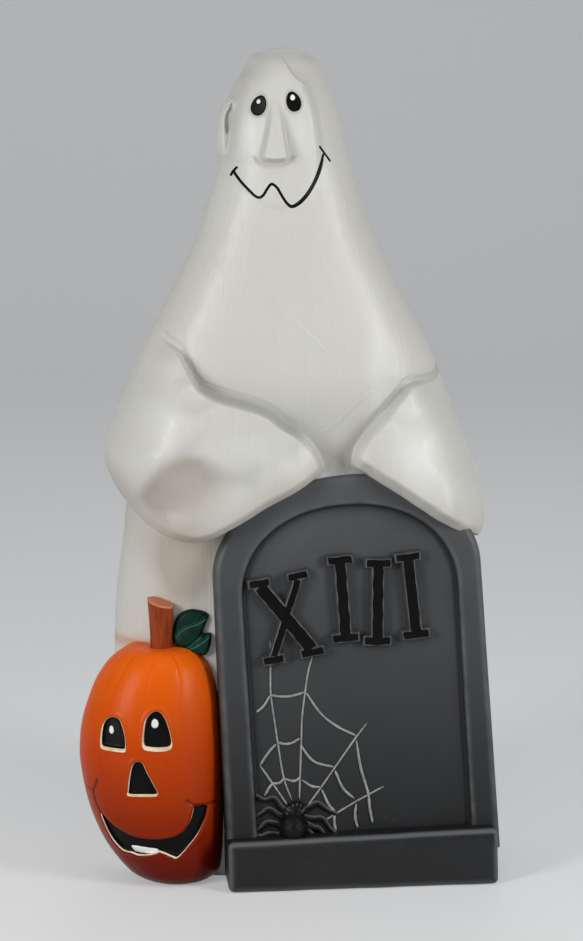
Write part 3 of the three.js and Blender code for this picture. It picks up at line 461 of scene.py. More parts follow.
def orange_paint():
    f = Finish("pumpkin_paint", (0.085, 0.003, 0.0008), ior=1.2)
    streaks = f.noise(10, (12, 12, 1.2), detail=5, rough=0.6)
    cloud = f.noise(9, (1, 1, 0.7), detail=3)
    high = f.high()
    # Darker and redder towards the bottom: partly the paint's own sprayed shading, partly painted shade
    # where the light falls off
    f.over(f.reach(high, 0.0, 0.05), (0.20, 0.012, 0.0012))
    f.over(f.reach(high, 0.05, 0.15), (0.50, 0.05, 0.0015))
    f.over(f.reach(high, 0.15, 0.25), (0.82, 0.128, 0.004))
    f.over(f.reach(cloud, 0.45, 0.7, 0, 0.3), f.mix(0.8, (0.70, 0.12, 0.005), f.colour))
    f.over(f.reach(streaks, 0.55, 0.75, 0, 0.15), (0.30, 0.022, 0.001))
    # Painted shade in grooves and a painted shadow by the slab
    f.over("painted_shadow_and_tint", (0.05, 0.0025, 0.0008))
    height = f.sums((streaks, 1.0), (f.noise(200, detail=2), 0.3))
    return f.done(f.reach(streaks, 0.3, 0.7, 0.26, 0.4), height, 0.28, 0.0008)


def plain_paint(name, base, other, scale, rough=(0.35, 0.5), coat=0.1, metallic=0.0):
    f = Finish(name, base, coat=coat, metallic=metallic)
    worn = f.noise(scale, detail=5)
    f.over(f.reach(worn, 0.4, 0.7), other)
    return f.done(f.reach(worn, 0.3, 0.7, *rough), f.noise(scale * 3, detail=3), 0.25, 0.0006)


def metal(name, base, other, scale, rough):
    return plain_paint(name, base, other, scale, rough, metallic=1.0)


def spider_paint():
    f = Finish("spider_paint", (0.003, 0.003, 0.0032), ior=1.25)
    worn = f.noise(110, detail=5, rough=0.7)
    f.over(f.reach(worn, 0.5, 0.8, 0, 0.3), (0.03, 0.03, 0.03))
    f.over("wear", (0.24, 0.235, 0.22))
    return f.done(f.reach(worn, 0.35, 0.7, 0.4, 0.6), worn, 0.4, 0.0008)


def stem_paint():
    f = Finish("stem_paint_worn", (0.29, 0.048, 0.009), ior=1.25)
    streaks = f.noise(30, (5, 5, 0.7), detail=5)
    f.over(f.reach(streaks, 0.4, 0.7), (0.16, 0.022, 0.004))
    f.over(f.times(f.layer("tip"), 0.7), (0.62, 0.19, 0.09))
    f.over(f.times(f.layer("wear"), 0.4), (0.66, 0.30, 0.17))
    return f.done(f.reach(streaks, 0.3, 0.7, 0.3, 0.45), streaks, 0.4, 0.001)


def leaf_paint():
    f = Finish("leaf_paint_worn", (0.002, 0.028, 0.018), ior=1.22)
    worn = f.noise(55, detail=5)
    f.over(f.reach(worn, 0.4, 0.7), (0.001, 0.012, 0.008))
    f.over("wear", (0.03, 0.15, 0.11))
    return f.done(f.reach(worn, 0.3, 0.7, 0.34, 0.5), worn, 0.3, 0.0008)


def bulb_glass():
    f = Finish("lamp_glass", (0.97, 0.98, 0.98), roughness=0.03, ior=1.46)
    f.shader.inputs["Transmission Weight"].default_value = 1.0
    ripple = f.noise(60, detail=1)
    f.over(ripple, (0.94, 0.96, 0.96))
    return f.done(None, ripple, 0.06, 0.0004)


GHOST = ghost_paint()
PLAIN = ghost_plain()
BLACK = black_paint("black_paint")
EYE_BLACK = black_paint("eye_black", (1, 1, 0.3))
STONE = stone_paint()
ORANGE = orange_paint()
STEM_PAINT = stem_paint()
LEAF_PAINT = leaf_paint()
WHITE = plain_paint("highlight_white", (0.84, 0.84, 0.82), (0.74, 0.74, 0.71), 90, coat=0.3)
CREAM = plain_paint("cream_bevel", (0.80, 0.67, 0.49), (0.62, 0.40, 0.20), 70)
WEB = plain_paint("web_paint", (0.30, 0.305, 0.30), (0.17, 0.173, 0.173), 120)
NUMERAL_SIDE = plain_paint("numeral_side", (0.06, 0.062, 0.066), (0.03, 0.031, 0.034), 60)
HOLDER = plain_paint("holder_plastic", (0.012, 0.012, 0.013), (0.02, 0.02, 0.021), 200, (0.35, 0.45))
STEEL = metal("spring_steel", (0.56, 0.57, 0.58), (0.48, 0.49, 0.5), 90, (0.22, 0.34))
BRASS = metal("brass", (0.76, 0.56, 0.25), (0.66, 0.46, 0.19), 80, (0.2, 0.34))
SOLDER = metal("solder", (0.52, 0.52, 0.51), (0.44, 0.44, 0.43), 150, (0.3, 0.45))
GLASS = bulb_glass()

# The ghost's surface
# Rows: height, outline left and right, the robe's left and right where they differ from it,
# depth before and behind, squareness
OUTLINE = [
    (5, -184, 166, 84, 94, 2.6),
    (12, -188.5, 170, 86, 97, 2.6),
    (24, -190, 172, 86, 98, 2.6),
    (60, -189.5, 171, 86, 98, 2.6),
    (140, -188.5, 168, 86, 98, 2.6),
    (240, -188, 166, 86, 98, 2.6),
    (272, -187, 166, 86.5, 98, 2.6),
    (300, -184.5, 165, 87, 97.5, 2.6),
    (326, -181, 168, -181, 164, 87.5, 97, 2.6),
    (340, -179, 186, -179, 163, 87.8, 96.5, 2.6),
    (350, -177.5, 200, -177.5, 162.5, 88, 96, 2.6),
    (362, -176, 206, -176, 162, 88.3, 95.5, 2.6),
    (372, -175.5, 207.5, -175, 161.5, 88.6, 95, 2.6),
    (384, -175.5, 206.5, -173.5, 161, 89, 94.6, 2.6),
    (398, -179, 204, -171.5, 160.5, 89.3, 94.2, 2.6),
    (413, -188, 201, -169.5, 160, 89.6, 93.8, 2.6),
    (428, -194.5, 195.5, -167, 160, 90, 93.4, 2.6),
    (445, -197, 188.5, -164.5, 160, 90, 93, 2.6),
    (456, -196.5, 184.5, -163, 160, 90, 92.6, 2.6),
    (476, -189, 176.5, -160, 159, 90.5, 91.6, 2.6),
    (498, -180, 169, -157, 157, 91, 90.4, 2.65),
    (529, -166, 158, -153, 155, 91, 88.6, 2.7),
    (550, -157.5, 148.5, -151, 148.5, 90.8, 87, 2.7),
    (571, -147.5, 138, -146, 138, 90, 84.5, 2.7),
    (602, -130, 121, 86.5, 80, 2.7),
    (634, -114, 105, 82.5, 75.5, 2.65),
    (655, -103.5, 95, 79, 73, 2.6),
    (675, -95, 86, 76, 70.5, 2.55),
    (707, -85, 74, 72, 66, 2.5),
    (730, -78, 66.5, 69.5, 63, 2.4),
    (741, -73, 63, -74, 63, 68.5, 62, 2.4),
    (750, -73.5, 60.5, -72, 60.5, 67.8, 61.2, 2.35),
    (758, -76.6, 58.5, -69.5, 58.5, 67, 60.5, 2.35),
    (773, -77.2, 55.5, -66.5, 55.5, 65.6, 59, 2.3),
    (789, -75.2, 52, -64, 52, 64, 57, 2.3),
    (799, -72.6, 49.5, -62.3, 49.5, 62.8, 56, 2.25),
    (809, -67, 46, -60.5, 46, 61.4, 54.4, 2.2),
    (819, -60, 42.5, -58.5, 42.5, 59.4, 52, 2.2),
    (830, -55, 38, 56, 48.6, 2.15),
    (840, -48.5, 33.5, 51, 44, 2.1),
    (850, -43.4, 27.6, 43.5, 37.5, 2.1),
    (857, -36.4, 19.4, 32.5, 28, 2.1),
    (860.4, -28, 11.2, 22.4, 19.5, 2.05),
    (862.2, -17.6, 2.6, 11.8, 10.4, 2.0),
    (862.8, -11.4, -3.4, 4.8, 4.3, 2.0),
]

LEFT_CREASE = [
    (-138, 582), (-136, 578), (-129, 569.5), (-121, 563), (-114.5, 553), (-108.5, 540), (-102.5, 529.5),
    (-97, 524), (-84, 519), (-64.5, 513.5), (-45, 507.5), (-29, 500), (-16, 488.5), (-2.5, 480), (9, 470),
    (18.5, 458.5), (25.5, 445), (29, 434),
]
LEFT_LOWER = [
    (30, 438), (20, 430.5), (8.5, 421.5), (-4.5, 413.5), (-17.5, 406.5), (-34, 397.5), (-50.5, 387.5),
    (-66.5, 378.5), (-79.5, 372), (-92.5, 366.5), (-107, 364), (-123.5, 365.5), (-139.5, 370),
    (-151.5, 376), (-162.5, 385), (-171, 393), (-177, 397.5), (-185, 404.5), (-196, 418),
]
LEFT_DEPTH = [
    (-138, 575, 82), (-122, 540, 97), (-106, 520, 108), (-160, 490, 127), (-128, 485, 131),
    (-150, 445, 133), (-90, 490, 126), (-60, 495, 124), (-20, 478, 119), (8, 452, 114), (-30, 425, 121),
    (-80, 415, 126), (-120, 385, 128), (-165, 410, 128), (-70, 450, 130),
]
LEFT_RIDGE = [
    (-172, 408), (-165, 421), (-154, 435), (-146, 444.5), (-136.5, 452.5), (-125, 459), (-114, 465.5),
    (-104.5, 474.5), (-99.5, 484), (-100, 492.5), (-104, 500.5), (-110.5, 508.5), (-117, 517),
    (-125, 526.5), (-131, 536), (-134, 547.5),
]
RIGHT_CREASE = [
    (161, 534.5), (152, 532), (145, 529), (133, 528), (121.5, 527), (113.5, 524), (107, 517.5),
    (98.5, 508.5), (90, 500), (81.5, 491), (72.5, 481), (64, 469.5), (57, 458), (54, 448), (52.5, 438),
]
RIGHT_LOWER = [
    (48, 440), (64.5, 432), (77.5, 423), (92, 414), (105.5, 405.5), (117, 397.5), (128.5, 390),
    (139, 382.5), (149.5, 376.5), (158, 371.5), (167, 366.5), (176, 363.5), (183, 361.5), (190, 357),
    (198, 350), (211, 339),
]
RIGHT_DEPTH = [
    (144, 528, 68), (118, 508, 98), (78, 468, 114), (60, 450, 112), (110, 440, 123), (150, 460, 112),
    (140, 395, 124), (185, 385, 114),
]
RIGHT_FLANK = [(143, 520), (160.5, 486.5), (171.5, 448.5), (177, 416), (181, 377)]
DISH = [
    (-167, 412), (-160, 430), (-148, 446), (-132, 456.5), (-116, 460), (-98, 456), (-86, 442), (-81, 424),
    (-88, 407), (-103, 394), (-122, 386), (-142, 388), (-158, 397),
]
CHEST_CREASES = [
    [(-34, 605), (-26, 599), (-17, 591)], [(-7, 591), (8, 577), (27, 559)],
    [(23, 473), (40, 484), (56, 500), (73, 514)],
]
BROW_CREASE = [(-11.5, 851), (-9.5, 847.5), (-6, 840), (-0.3, 832), (7, 826.5)]
FACE = [
    (-11.5, 851), (-9.5, 847.5), (-6, 840), (-0.3, 832), (6, 826.5), (9, 821), (13.3, 809), (17.5, 794),
    (20, 777), (22, 762), (21, 744), (14, 722), (-2, 706), (-22, 702), (-42, 713), (-55, 727), (-61, 738),
    (-61.5, 748), (-61, 760), (-58, 777), (-56, 789.5), (-54, 801.5), (-50, 815), (-45, 829.5),
    (-38.5, 840), (-31.5, 849), (-21.5, 854),
]
NOSE = [
    (-26.5, 816), (-28, 803), (-28.8, 792), (-30, 784.5), (-32.5, 772.5), (-35.5, 760.5), (-37, 754.5),
    (-35.5, 750.3), (-31, 748.2), (-22, 747.4), (-13.5, 748.2), (-9.5, 750.5), (-8.5, 754.5),
    (-9.3, 760.5), (-11, 772.5), (-12.6, 784.5), (-14, 796.7), (-14.8, 808), (-16.5, 816),
]
SLOT = [
    (-61.5, 807), (-64, 801.5), (-67.5, 796.5), (-68.7, 791), (-69, 784), (-68, 778), (-66.3, 775.5),
    (-64, 779), (-62.3, 787), (-61.3, 797),
]
SMILE = [
    (-62.3, 737.5), (-59, 732), (-55.4, 727), (-51.5, 722.5), (-47.5, 718.3), (-43, 713.8),
    (-38.4, 711.6), (-34.2, 714), (-30.4, 719.9), (-25.8, 725.3), (-20.5, 721.9), (-17.2, 716.5),
    (-13.3, 710), (-9.6, 705.2), (-5, 702.6), (1.8, 705.9), (9.2, 713), (16.4, 723.4), (22, 734.6),
    (25.9, 745.6), (27.9, 754),
]
SMILE_TICKS = [[(-59.3, 741.6), (-62.5, 738), (-64.8, 733.8)], [(24.5, 762.5), (29, 756.5), (35.5, 748.2)]]


def columns_of(z):
    """The outline's columns at each height, as smooth lines."""
    rows = np.array([row if len(row) == 8 else (*row[:3], *row[1:]) for row in OUTLINE], float)
    fine = np.arange(rows[0, 0], rows[-1, 0], 0.5)
    sampled = np.stack([np.interp(fine, rows[:, 0], rows[:, k]) for k in range(1, 8)], 1)
    far = SMOOTHING_REACH
    weights = bump(np.arange(-far, far + 1), SMOOTHING)
    weights /= weights.sum()
    soft = sampled.copy()
    for k in range(7):
        before = 2 * sampled[0, k] - sampled[far:0:-1, k]
        after = 2 * sampled[-1, k] - sampled[-2 : -far - 2 : -1, k]
        padded = np.concatenate([before, sampled[:, k], after])
        soft[:, k] = np.convolve(padded, weights, "valid")
    soft[:, 2] = np.maximum(soft[:, 2], soft[:, 0])
    soft[:, 3] = np.minimum(soft[:, 3], soft[:, 1])
    # the crown rounds off as the root of what is left to its top
    crown = rows[rows[:, 0] > CROWN_FROM]
    below_top = np.sqrt(CROWN_TOP - crown[:, 0])
    left = np.sqrt(np.clip(CROWN_TOP - z, 0, None))
    share = step(z, CROWN_FROM + 9, CROWN_FROM + 23)
    out = []
    for k in range(7):
        dome = np.polyval(np.polyfit(below_top, crown[:, k + 1], 4), left)
        out.append(np.interp(z, fine, soft[:, k]) * (1 - share) + dome * share)
    return out


def eye(x, z, cx, cz, wide, high, lean):
    u, v = turned(x - cx, z - cz, math.radians(lean))
    r = np.sqrt((u / (wide * (1 - 0.13 * v / high))) ** 2 + (v / high) ** 2)
    return (r - 1) * (wide + high) / 2


def eyes(x, z, pair):
    return np.minimum(eye(x, z, *pair[0]), eye(x, z, *pair[1]))


def sleeve(x, z, side, crease, lower, depth, reach, edge, outer, wall, lip):
    """How far a sleeve stands out of the parting plane. wall is how wide the step at its crease
    is, and lip is how much, and how far in, its lower edge falls back."""
    top = side * beside(crease, x, z, 5)
    low = side * beside(lower, x, z, 5)
    fall, wide = lip
    under = rounding(low + 1.5, 4) * (1 - fall * (1 - step(low, 0, wide)))
    wall_shape = rounding(top, wall, 1.6 + 1.1 * step(z, 500, 465))
    return spread(depth, x, z, reach) * rounding(edge, outer, 2.15) * wall_shape * under


def robe(x, cols, deep):
    """The plain robe's depth, of a squarish round section."""
    low, high, square = cols[2], cols[3], cols[6]
    u = np.clip(np.abs(x - (low + high) / 2) / ((high - low) / 2), 0, 1)
    return deep * (1 - u**square) ** (1 / square)


def ghost_front(x, z, cols):
    """Depth of the ghost's front before the parting plane, and its paint layers: painted shadow with a tan
    tint, painted shade and painted highlight.
    """
    left, right = cols[0], cols[1]
    body = robe(x, cols, cols[4])
    painted_shadow_and_tint, painted_shade, painted_highlight = np.zeros(x.shape), np.zeros(x.shape), np.zeros(x.shape)

    # folds of the chest
    for line in CHEST_CREASES:
        s = beside(line, x, z)
        body += 0.8 * bump(s - 0.8, 1.4) - 0.6 * bump(s + 2.0, 2)

    # face: a soft raised field, nose, eye hollows, brow
    face = within(FACE, x, z)
    body += 2.6 * step(-face, -5 - 3 * step(x, -20, 10), 4) * step(z, 858, 836)
    nose = within(NOSE, x, z, 5)
    along = np.clip((814 - z) / 62, 0, 1.1)
    body += (1.5 + 11.5 * along**1.1) * step(-nose, -1.4, 4.2) * step(z, 822, 798)
    under = step(z, 756, 750)
    body += (-1.3 * bump(nose - 3.4, 2.2) + 0.6 * bump(nose - 8.5, 2.4)) * under
    for cx, side in ((-38.5, -1), (-2, 1)):
        hollow = oval(x, z, cx + side * 1.5, 786, 12, 30)
        body -= 1.8 * np.exp(-(hollow**2) * 1.3)
    # Painted shade beside the raised face field
    painted_shade += 0.4 * bump(face - 5, 6) * step(z, 735, 765) * step(z, 858, 838)
    brow = beside(BROW_CREASE, x, z)
    body += 1.0 * bump(brow - 0.6, 1.1) - 0.5 * bump(brow + 2.2, 2.2)
    # Painted shadow under the nose and painted shade beside its walls
    painted_shade += 0.6 * bump(nose - 3.2, 2.2) * under + 0.3 * bump(nose + 1, 2) * step(z, 800, 790) * (1 - under)

    # the fold of cloth beside the head
    slot = within(SLOT, x, z)
    lobe = 25 * rounding(x - left, 8) * step(z, 741, 755) * step(z, 832, 806)
    lobe = lobe * step(x, 0, -20) - 5.5 * step(-slot, -2, 3) * (lobe > 6)
    # Painted shade inside the slot
    painted_shade += 0.3 * step(-slot, -0.8, 1.2)
    body = smooth_max(body, lobe, 5)

    # sleeves
    left_wall = 8 + 3 * step(x, -108, -84) + 2 * step(x, -20, 22)
    right_wall = 9 + 3 * step(-x, -110, -58)
    arm_left = sleeve(x, z, 1, LEFT_CREASE, LEFT_LOWER, LEFT_DEPTH, 42, x - left, 74, left_wall, (0.06, 11))
    arm_right = sleeve(x, z, -1, RIGHT_CREASE, RIGHT_LOWER, RIGHT_DEPTH, 60, right - x, 60, right_wall,
                       (0.11, 14))
    ridge = beside(LEFT_RIDGE, x, z)
    on_left, on_right = arm_left > 60, arm_right > 30
    dish = within(DISH, x, z)
    crest = step(z, 553, 525) * step(z, 440, 476)
    crest = crest * (1.5 * bump(ridge + 7, 8) - 0.7 * bump(ridge - 5, 8))
    arm_left += (-7 * step(-dish, -7, 24) + crest) * on_left
    low = step((x + 125 + 420 - z) / 56, -0.4, 0.9)
    # Painted shade in the dish, with a tan tint
    painted_shadow_and_tint += 0.72 * step(-dish, -3 - 20 * low, 12 + 10 * low)
    flank = -beside(RIGHT_FLANK, x, z)
    arm_right -= 3.5 * step(flank, -9, 11) * on_right * step(z, 520, 480)
    swell = spread([(-60, 470, 2), (-20, 455, 3), (-110, 500, 2), (-70, 400, -3)], x, z, 30)
    arm_left += swell * on_left
    soft = 1.5 + 8 * step(z, 490, 450)
    out = smooth_max(smooth_max(body, arm_left, soft), arm_right, soft)
    between = step(z, 545, 470) * step(z, 425, 432)
    for line, wall, side in ((LEFT_CREASE, left_wall, 1), (RIGHT_CREASE, right_wall, -1)):
        near = side * beside(line, x, z, 5)
        high = step(z, 474, 494)
        out -= 1.0 * bump(near + 1.2, 1.6) * step(out, 20, 50) * high
        ledge = step(x, -112, -96) * step(x, 12, -12) if side > 0 else 0.5 * step(z, 490, 520)
        # Painted shade on the steps below the creases
        painted_shade += ledge * step(near, -0.5, 1) * step(near, wall, wall * 0.55)
        painted_shade += 0.45 * bump(near + 0.2, 1.5) * high * step(x, -137, -131)
        between = between * step(-near, -9, 5)
    # Painted shade in the hollow between the sleeves
    painted_shade += 0.6 * between
    # Painted highlights
    for cx, cz, wide, tall, much in PAINTED_HIGHLIGHTS:
        painted_highlight = np.maximum(painted_highlight, much * hill(x, z, cx, cz, wide, tall))
    for line, side in ((LEFT_LOWER, 1), (RIGHT_LOWER, -1)):
        low_edge = side * beside(line, x, z, 5)
        # Painted shadow line under each sleeve's lower edge
        painted_shade += 0.4 * bump(low_edge + 1.5, 3.5)
        # Painted shade on the sleeve's lower lip, with a tan tint, and a painted shadow below the left
        # sleeve
        painted_shadow_and_tint += (0.5 if side > 0 else 0.3) * step(low_edge, 36, 0) * step(low_edge, -3, 0)
        blotch = 0.9 * hill(x, z, -116, 336, 27, 38) + 0.3 * step(-low_edge, 60, 2)
        painted_shadow_and_tint += blotch * step(-low_edge, -1, 2) * step(x, -50, -75)

    # eyes
    for cx, cz, wide, high, lean in EYES:
        e = eye(x, z, cx, cz, wide, high, lean)
        out -= 1.1 * step(-e, -0.4, 1.2)
        out += 0.5 * bump(e - 2.1, 1.1)
        # Painted shade round the eye hollows
        painted_shade += 0.65 * bump(e - 1.2, 1.1)
    return out, np.clip(painted_shadow_and_tint, 0, 0.9), np.clip(painted_shade, 0, 0.8), painted_highlight


# Painted highlights, lighter paint where the white is to look lit brightest: middle, half width and height,
# how much
PAINTED_HIGHLIGHTS = [
    (-47, 772, 9, 26, 0.9), (4, 775, 8, 22, 0.4), (-135, 500, 22, 30, 0.5), (117, 448, 22, 45, 0.8),
    (4, 450, 8, 15, 0.7), (60, 448, 9, 13, 0.7), (82, 535, 10, 60, 0.4),
]
EYES = [(-37, 804, 7.15, 10.65, -20), (-2.5, 807.8, 7.6, 10.4, 17)]
GLINTS = [(-37.2, 807.9, 1.75, 2.3, -16), (-3.2, 811.9, 2.5, 2.8, 0)]


def graded(marks):
    """Heights with a spacing for each stretch: rows of height, spacing."""
    out = [marks[0][0]]
    for (low, gap), (high, _) in zip(marks, marks[1:]):
        n = max(1, round((high - low) / gap))
        out += list(low + (high - low) * (np.arange(n) + 1) / n)
    return np.array(out)


def across(z_rows, count, cols):
    """A grid from outline to outline, closer towards both."""
    left, right = cols[0], cols[1]
    t = np.linspace(-1, 1, count)
    u = 0.3 * t + 0.7 * np.sin(t * math.pi / 2)
    middle, half = (left + right)[:, None] / 2, (right - left)[:, None] / 2
    return middle + half * u, np.repeat(z_rows[:, None], count, 1)


def smile_field(x, z):
    line = spline(SMILE, per=5)
    best = np.full(x.shape, np.inf)
    for a, b in zip(line, line[1:]):
        half = 1.4 + 0.7 * step(a[0], -15, 5) * step(a[1], 752, 738)
        best = np.minimum(best, away([a, b], x, z) - half)
    for tick in SMILE_TICKS:
        best = np.minimum(best, away(spline(tick), x, z) - 1.15)
    return best


def spread_out(rows, count, cols, behind=None):
    """A grid over what the outline really holds at each height, and its outline columns."""
    x, z = across(rows, count, cols)
    wide = [c[:, None] for c in cols]
    deep = np.maximum(ghost_front(x, z, wide)[0], ghost_back(x, z, wide))
    if behind:
        deep = np.maximum(deep, np.maximum(*behind(x, z, wide[1])))
    thick = deep > THINNEST
    thick[:, count // 2] = True
    place = np.arange(len(rows))
    ends = [x[place, np.maximum(thick.argmax(1) - 1, 0)],
            x[place, count - 1 - np.maximum(thick[:, ::-1].argmax(1) - 1, 0)]]
    x, z = across(rows, count, ends)
    return x, z, wide


def capped(x, z, y):
    """Adds the flat foot and closes the crown."""
    foot_x = x[0].mean() + (x[0] - x[0].mean()) * np.array([[0.0], [0.97]])
    foot_y = PARTING_Y + (y[0] - PARTING_Y) * np.array([[0.0], [0.96]])
    ones = np.ones(x.shape[1])
    xs = np.vstack([foot_x, x, ones * x[-1].mean()])
    ys = np.vstack([foot_y, y, ones * PARTING_Y])
    zs = np.vstack([0 * ones, 0 * ones, z, ones * CROWN_TOP])
    return np.stack([xs, ys, zs], -1)


def padded_rows(a, low=2, high=1):
    return np.vstack([a[:1]] * low + [a] + [a[-1:]] * high)


def make_front():
    fine = 0.5
    rows = graded([(2, 1.5), (8, 3), (24, 5), (330, 1.6), (352, fine * 2.2), (592, 2.2), (690, fine * 1.6),
                   (826, 1.4), (856, 0.8), (862.8, 0.5)])
    cols = columns_of(rows)
    x, z, wide = spread_out(rows, 321, cols)
    depth, painted_shadow_and_tint, painted_shade, painted_highlight = ghost_front(x, z, wide)
    overspray = 0.7 * bump(away([(-190, 246), (-170, 249), (-105, 249)], x, z), 4.5) * step(-x, 92, 120)
    grid = capped(x, z, PARTING_Y - depth)
    masks = [smile_field(x, z), eyes(x, z, EYES), eyes(x, z, GLINTS)]
    layers = {"painted_shadow_and_tint": painted_shadow_and_tint, "painted_shade": painted_shade, "overspray": overspray, "painted_highlight": painted_highlight}
    return tiled("ghost_front", grid, [GHOST, BLACK, EYE_BLACK, WHITE], [padded_rows(m) for m in masks],
                 {k: padded_rows(v) for k, v in layers.items()})


# Behind the parting plane the outline takes in the slab and the plinth
BACK_RIGHT = [
    (2, 203), (10, 206), (54, 207.5), (93, 206), (147, 203), (179, 201), (244, 197), (297, 193),
    (326, 191), (340, 194), (350, 201), (362, 206),
]


def ghost_back(x, z, cols):
    """Depth of the plain back half behind the parting plane."""
    left, right = cols[0], cols[1]
    body = robe(x, cols, cols[5])
    for side, line, lower, reach, edge, outer in (
        (1, LEFT_CREASE, LEFT_LOWER, 74, x - left, 60),
        (-1, RIGHT_CREASE, RIGHT_LOWER, 70, right - x, 52),
    ):
        top = side * beside(line, x, z, 4)
        low = side * beside(lower, x, z, 4)
        arm = reach * rounding(edge, outer, 2.1)
        arm *= rounding(top + 8, 46) * rounding(low + 2, 34)
        body = smooth_max(body, arm, 16)
    lobe = 38 * rounding(x - left, 12) * step(z, 740, 758) * step(z, 823, 804)
    return smooth_max(body, lobe * step(x, -44, -62), 6)


def stone_back(x, z, right):
    """Depth of the slab and of the plinth, which pass through to the back."""
    high = unstand(np.stack([x, np.full(x.shape, PARTING_Y + SLAB_BACK), z], -1))[..., 2]
    side = rounding(right - x, 7)
    slab = (SLAB_BACK + np.clip(z - SLAB_Z, 0, None) * math.tan(SLAB_LEAN)) * side
    slab *= step(high, SLAB_HIGH, SLAB_HIGH - 11) * (x > 60) * (z < 420)
    return slab, PLINTH_BACK * side * rounding(100 - z, 8) * step(x, 66, 76)


def make_back():
    rows = graded([(2, 1.5), (8, 4), (200, 2.2), (300, 4), (364, 1.6), (420, 3), (700, 3), (826, 1.5),
                   (856, 0.8), (862.8, 0.5)])
    cols = columns_of(rows)
    knots = np.array(BACK_RIGHT, float)
    cols[1] = np.where(rows < 362, np.interp(rows, knots[:, 0], knots[:, 1]), cols[1])
    x, z, cols = spread_out(rows, 241, cols, stone_back)
    slab, plinth = stone_back(x, z, cols[1])
    body = smooth_max(smooth_max(ghost_back(x, z, cols), slab, 5), plinth, 6)
    out = np.hypot(x - LAMP_X, z - LAMP_Z)
    flat = step(out, PAD_RADIUS + 7, PAD_RADIUS)
    body = body * (1 - flat) + (PAD_Y - PARTING_Y) * flat
    # Painted shade round the pad's edge, and darker towards the bottom
    painted_shade = 0.5 * bump(out - PAD_RADIUS - 3, 4) + 0.25 * step(z, 60, 0)
    grid = capped(x, z, PARTING_Y + body)[:, ::-1]
    masks = [padded_rows(out - LAMP_HOLE)[:, ::-1]]
    return tiled("ghost_back", grid, [PLAIN], masks, {"painted_shade": padded_rows(painted_shade)[:, ::-1]}, drop=1)


front = make_front()
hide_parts("front_shell")
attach(front, "shell")

back = make_back()
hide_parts("back_shell")
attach(back, "shell")


# The gravestone
def arch(half_foot, half, high, rise, foot, square=1.0):
    """Points round an arched outline, from its left foot over the top to its right foot."""
    spring = high - rise
    up = np.linspace(0, 1, 40, endpoint=False)
    left = np.stack([-half_foot + (half_foot - half) * up, foot + (spring - foot) * up], 1)
    turn = np.linspace(math.pi, 0, 120)
    c, s = np.cos(turn), np.sin(turn)
    top = np.stack([half * np.sign(c) * np.abs(c) ** square, spring + rise * np.abs(s) ** square], 1)
    return np.vstack([left, top, left[::-1] * [-1, 1]])


def inward(line, inset):
    along = np.gradient(line, axis=0)
    along /= np.linalg.norm(along, axis=1)[:, None]
    return line + np.stack([along[:, 1], -along[:, 0]], 1) * inset


def ring(line, y, wear=0, painted_shade=0):
    """A line's points at one depth, with their wear and painted shade."""
    ones = np.ones(len(line))
    return np.stack([line[:, 0], y * ones, line[:, 1], wear * ones, painted_shade * ones], 1)


def make_stone():
    outer = arch(SLAB_HALF, SLAB_HALF - SLAB_DRAFT, SLAB_HIGH, SLAB_RISE, SLAB_FOOT)
    inner = arch(PANEL_HALF, PANEL_HALF, PANEL_HIGH, PANEL_RISE, SLAB_FOOT, 0.92)
    outer[:, 0] -= 2.3 * step(-outer[:, 0], 0, 110)
    # how far inside the line, how deep, wear, painted shade
    edge = [(0, 122, 0, 0), (0, 60, 0, 0), (0, 20, 0, 0), (0, 11, 0, 0), (0.3, 8, 0.05, 0),
            (1.1, 5, 0.25, 0), (2.6, 2.5, 0.5, 0), (4.6, 0.8, 0.4, 0), (7, 0.1, 0.12, 0), (9, 0, 0, 0)]
    lip = [(-7.5, 0, 0, 0), (-5, 0.1, 0.1, 0), (-3.2, 0.6, 0.35, 0), (-1.9, 1.6, 0.6, 0),
           (-0.9, 3, 0.25, 0.1), (-0.1, 4.8, 0, 0.5), (0.7, 6.6, 0, 0.9), (1.9, 7.7, 0, 0.9),
           (3.6, 7.7, 0, 0.55), (7, 7.2, 0, 0.25), (13, 7, 0, 0.08), (22, 7, 0, 0)]
    rings = [ring(inward(line, inset), y, wear, painted_shade)
             for line, stations in ((outer, edge), (inner, lip)) for inset, y, wear, painted_shade in stations]
    last = inward(inner, lip[-1][0])
    rings += [ring(last * [share, 1], PANEL_SINK) for share in np.linspace(0.92, 0, 12)]
    rings = np.array(rings)[:, ::-1]
    grid, wear = rings[..., :3], rings[..., 3]
    x, z = grid[..., 0], grid[..., 2]
    grid[..., 1] += uneven(x, z) + 0.25 * np.sin(x * 0.08 + z * 0.05)
    wear = wear * (0.75 + 0.35 * np.sin(x * 0.21 + z * 0.17) * np.sin(z * 0.093 + 2))
    grid = stand(grid)
    grid[..., 1] = np.minimum(grid[..., 1], PARTING_Y + 0.5)
    slab = tiled("slab", grid, [STONE], (), {"wear": wear, "painted_shade": rings[..., 4]})
    return joined("gravestone_looks", [slab, make_plinth()])


def uneven(x, z):
    """The panel's faint waves, which the web follows."""
    return 0.5 * np.sin(x * 0.031 + 1) * np.sin(z * 0.023)


def rounded_box_line(left, right, low, high_left, high_right, r):
    """A closed outline with round corners, anticlockwise from its lower left."""
    corners = [(left + 1, low), (right, low), (right - 2, high_right), (left, high_left)]
    out = []
    for k, corner in enumerate(corners):
        before, after = np.array(corners[k - 1], float), np.array(corners[(k + 1) % 4], float)
        c = np.array(corner, float)
        a = c + (before - c) / np.linalg.norm(before - c) * r
        b = c + (after - c) / np.linalg.norm(after - c) * r
        out += [a * (1 - t) ** 2 + 2 * c * t * (1 - t) + b * t * t for t in np.linspace(0, 1, 7)]
        end = after + (c - after) / np.linalg.norm(c - after) * r
        count = 2 if k in (1, 3) else 24
        out += [b * (1 - t) + end * t for t in np.linspace(0, 1, count + 2)[1:-1]]
    return np.array(out)


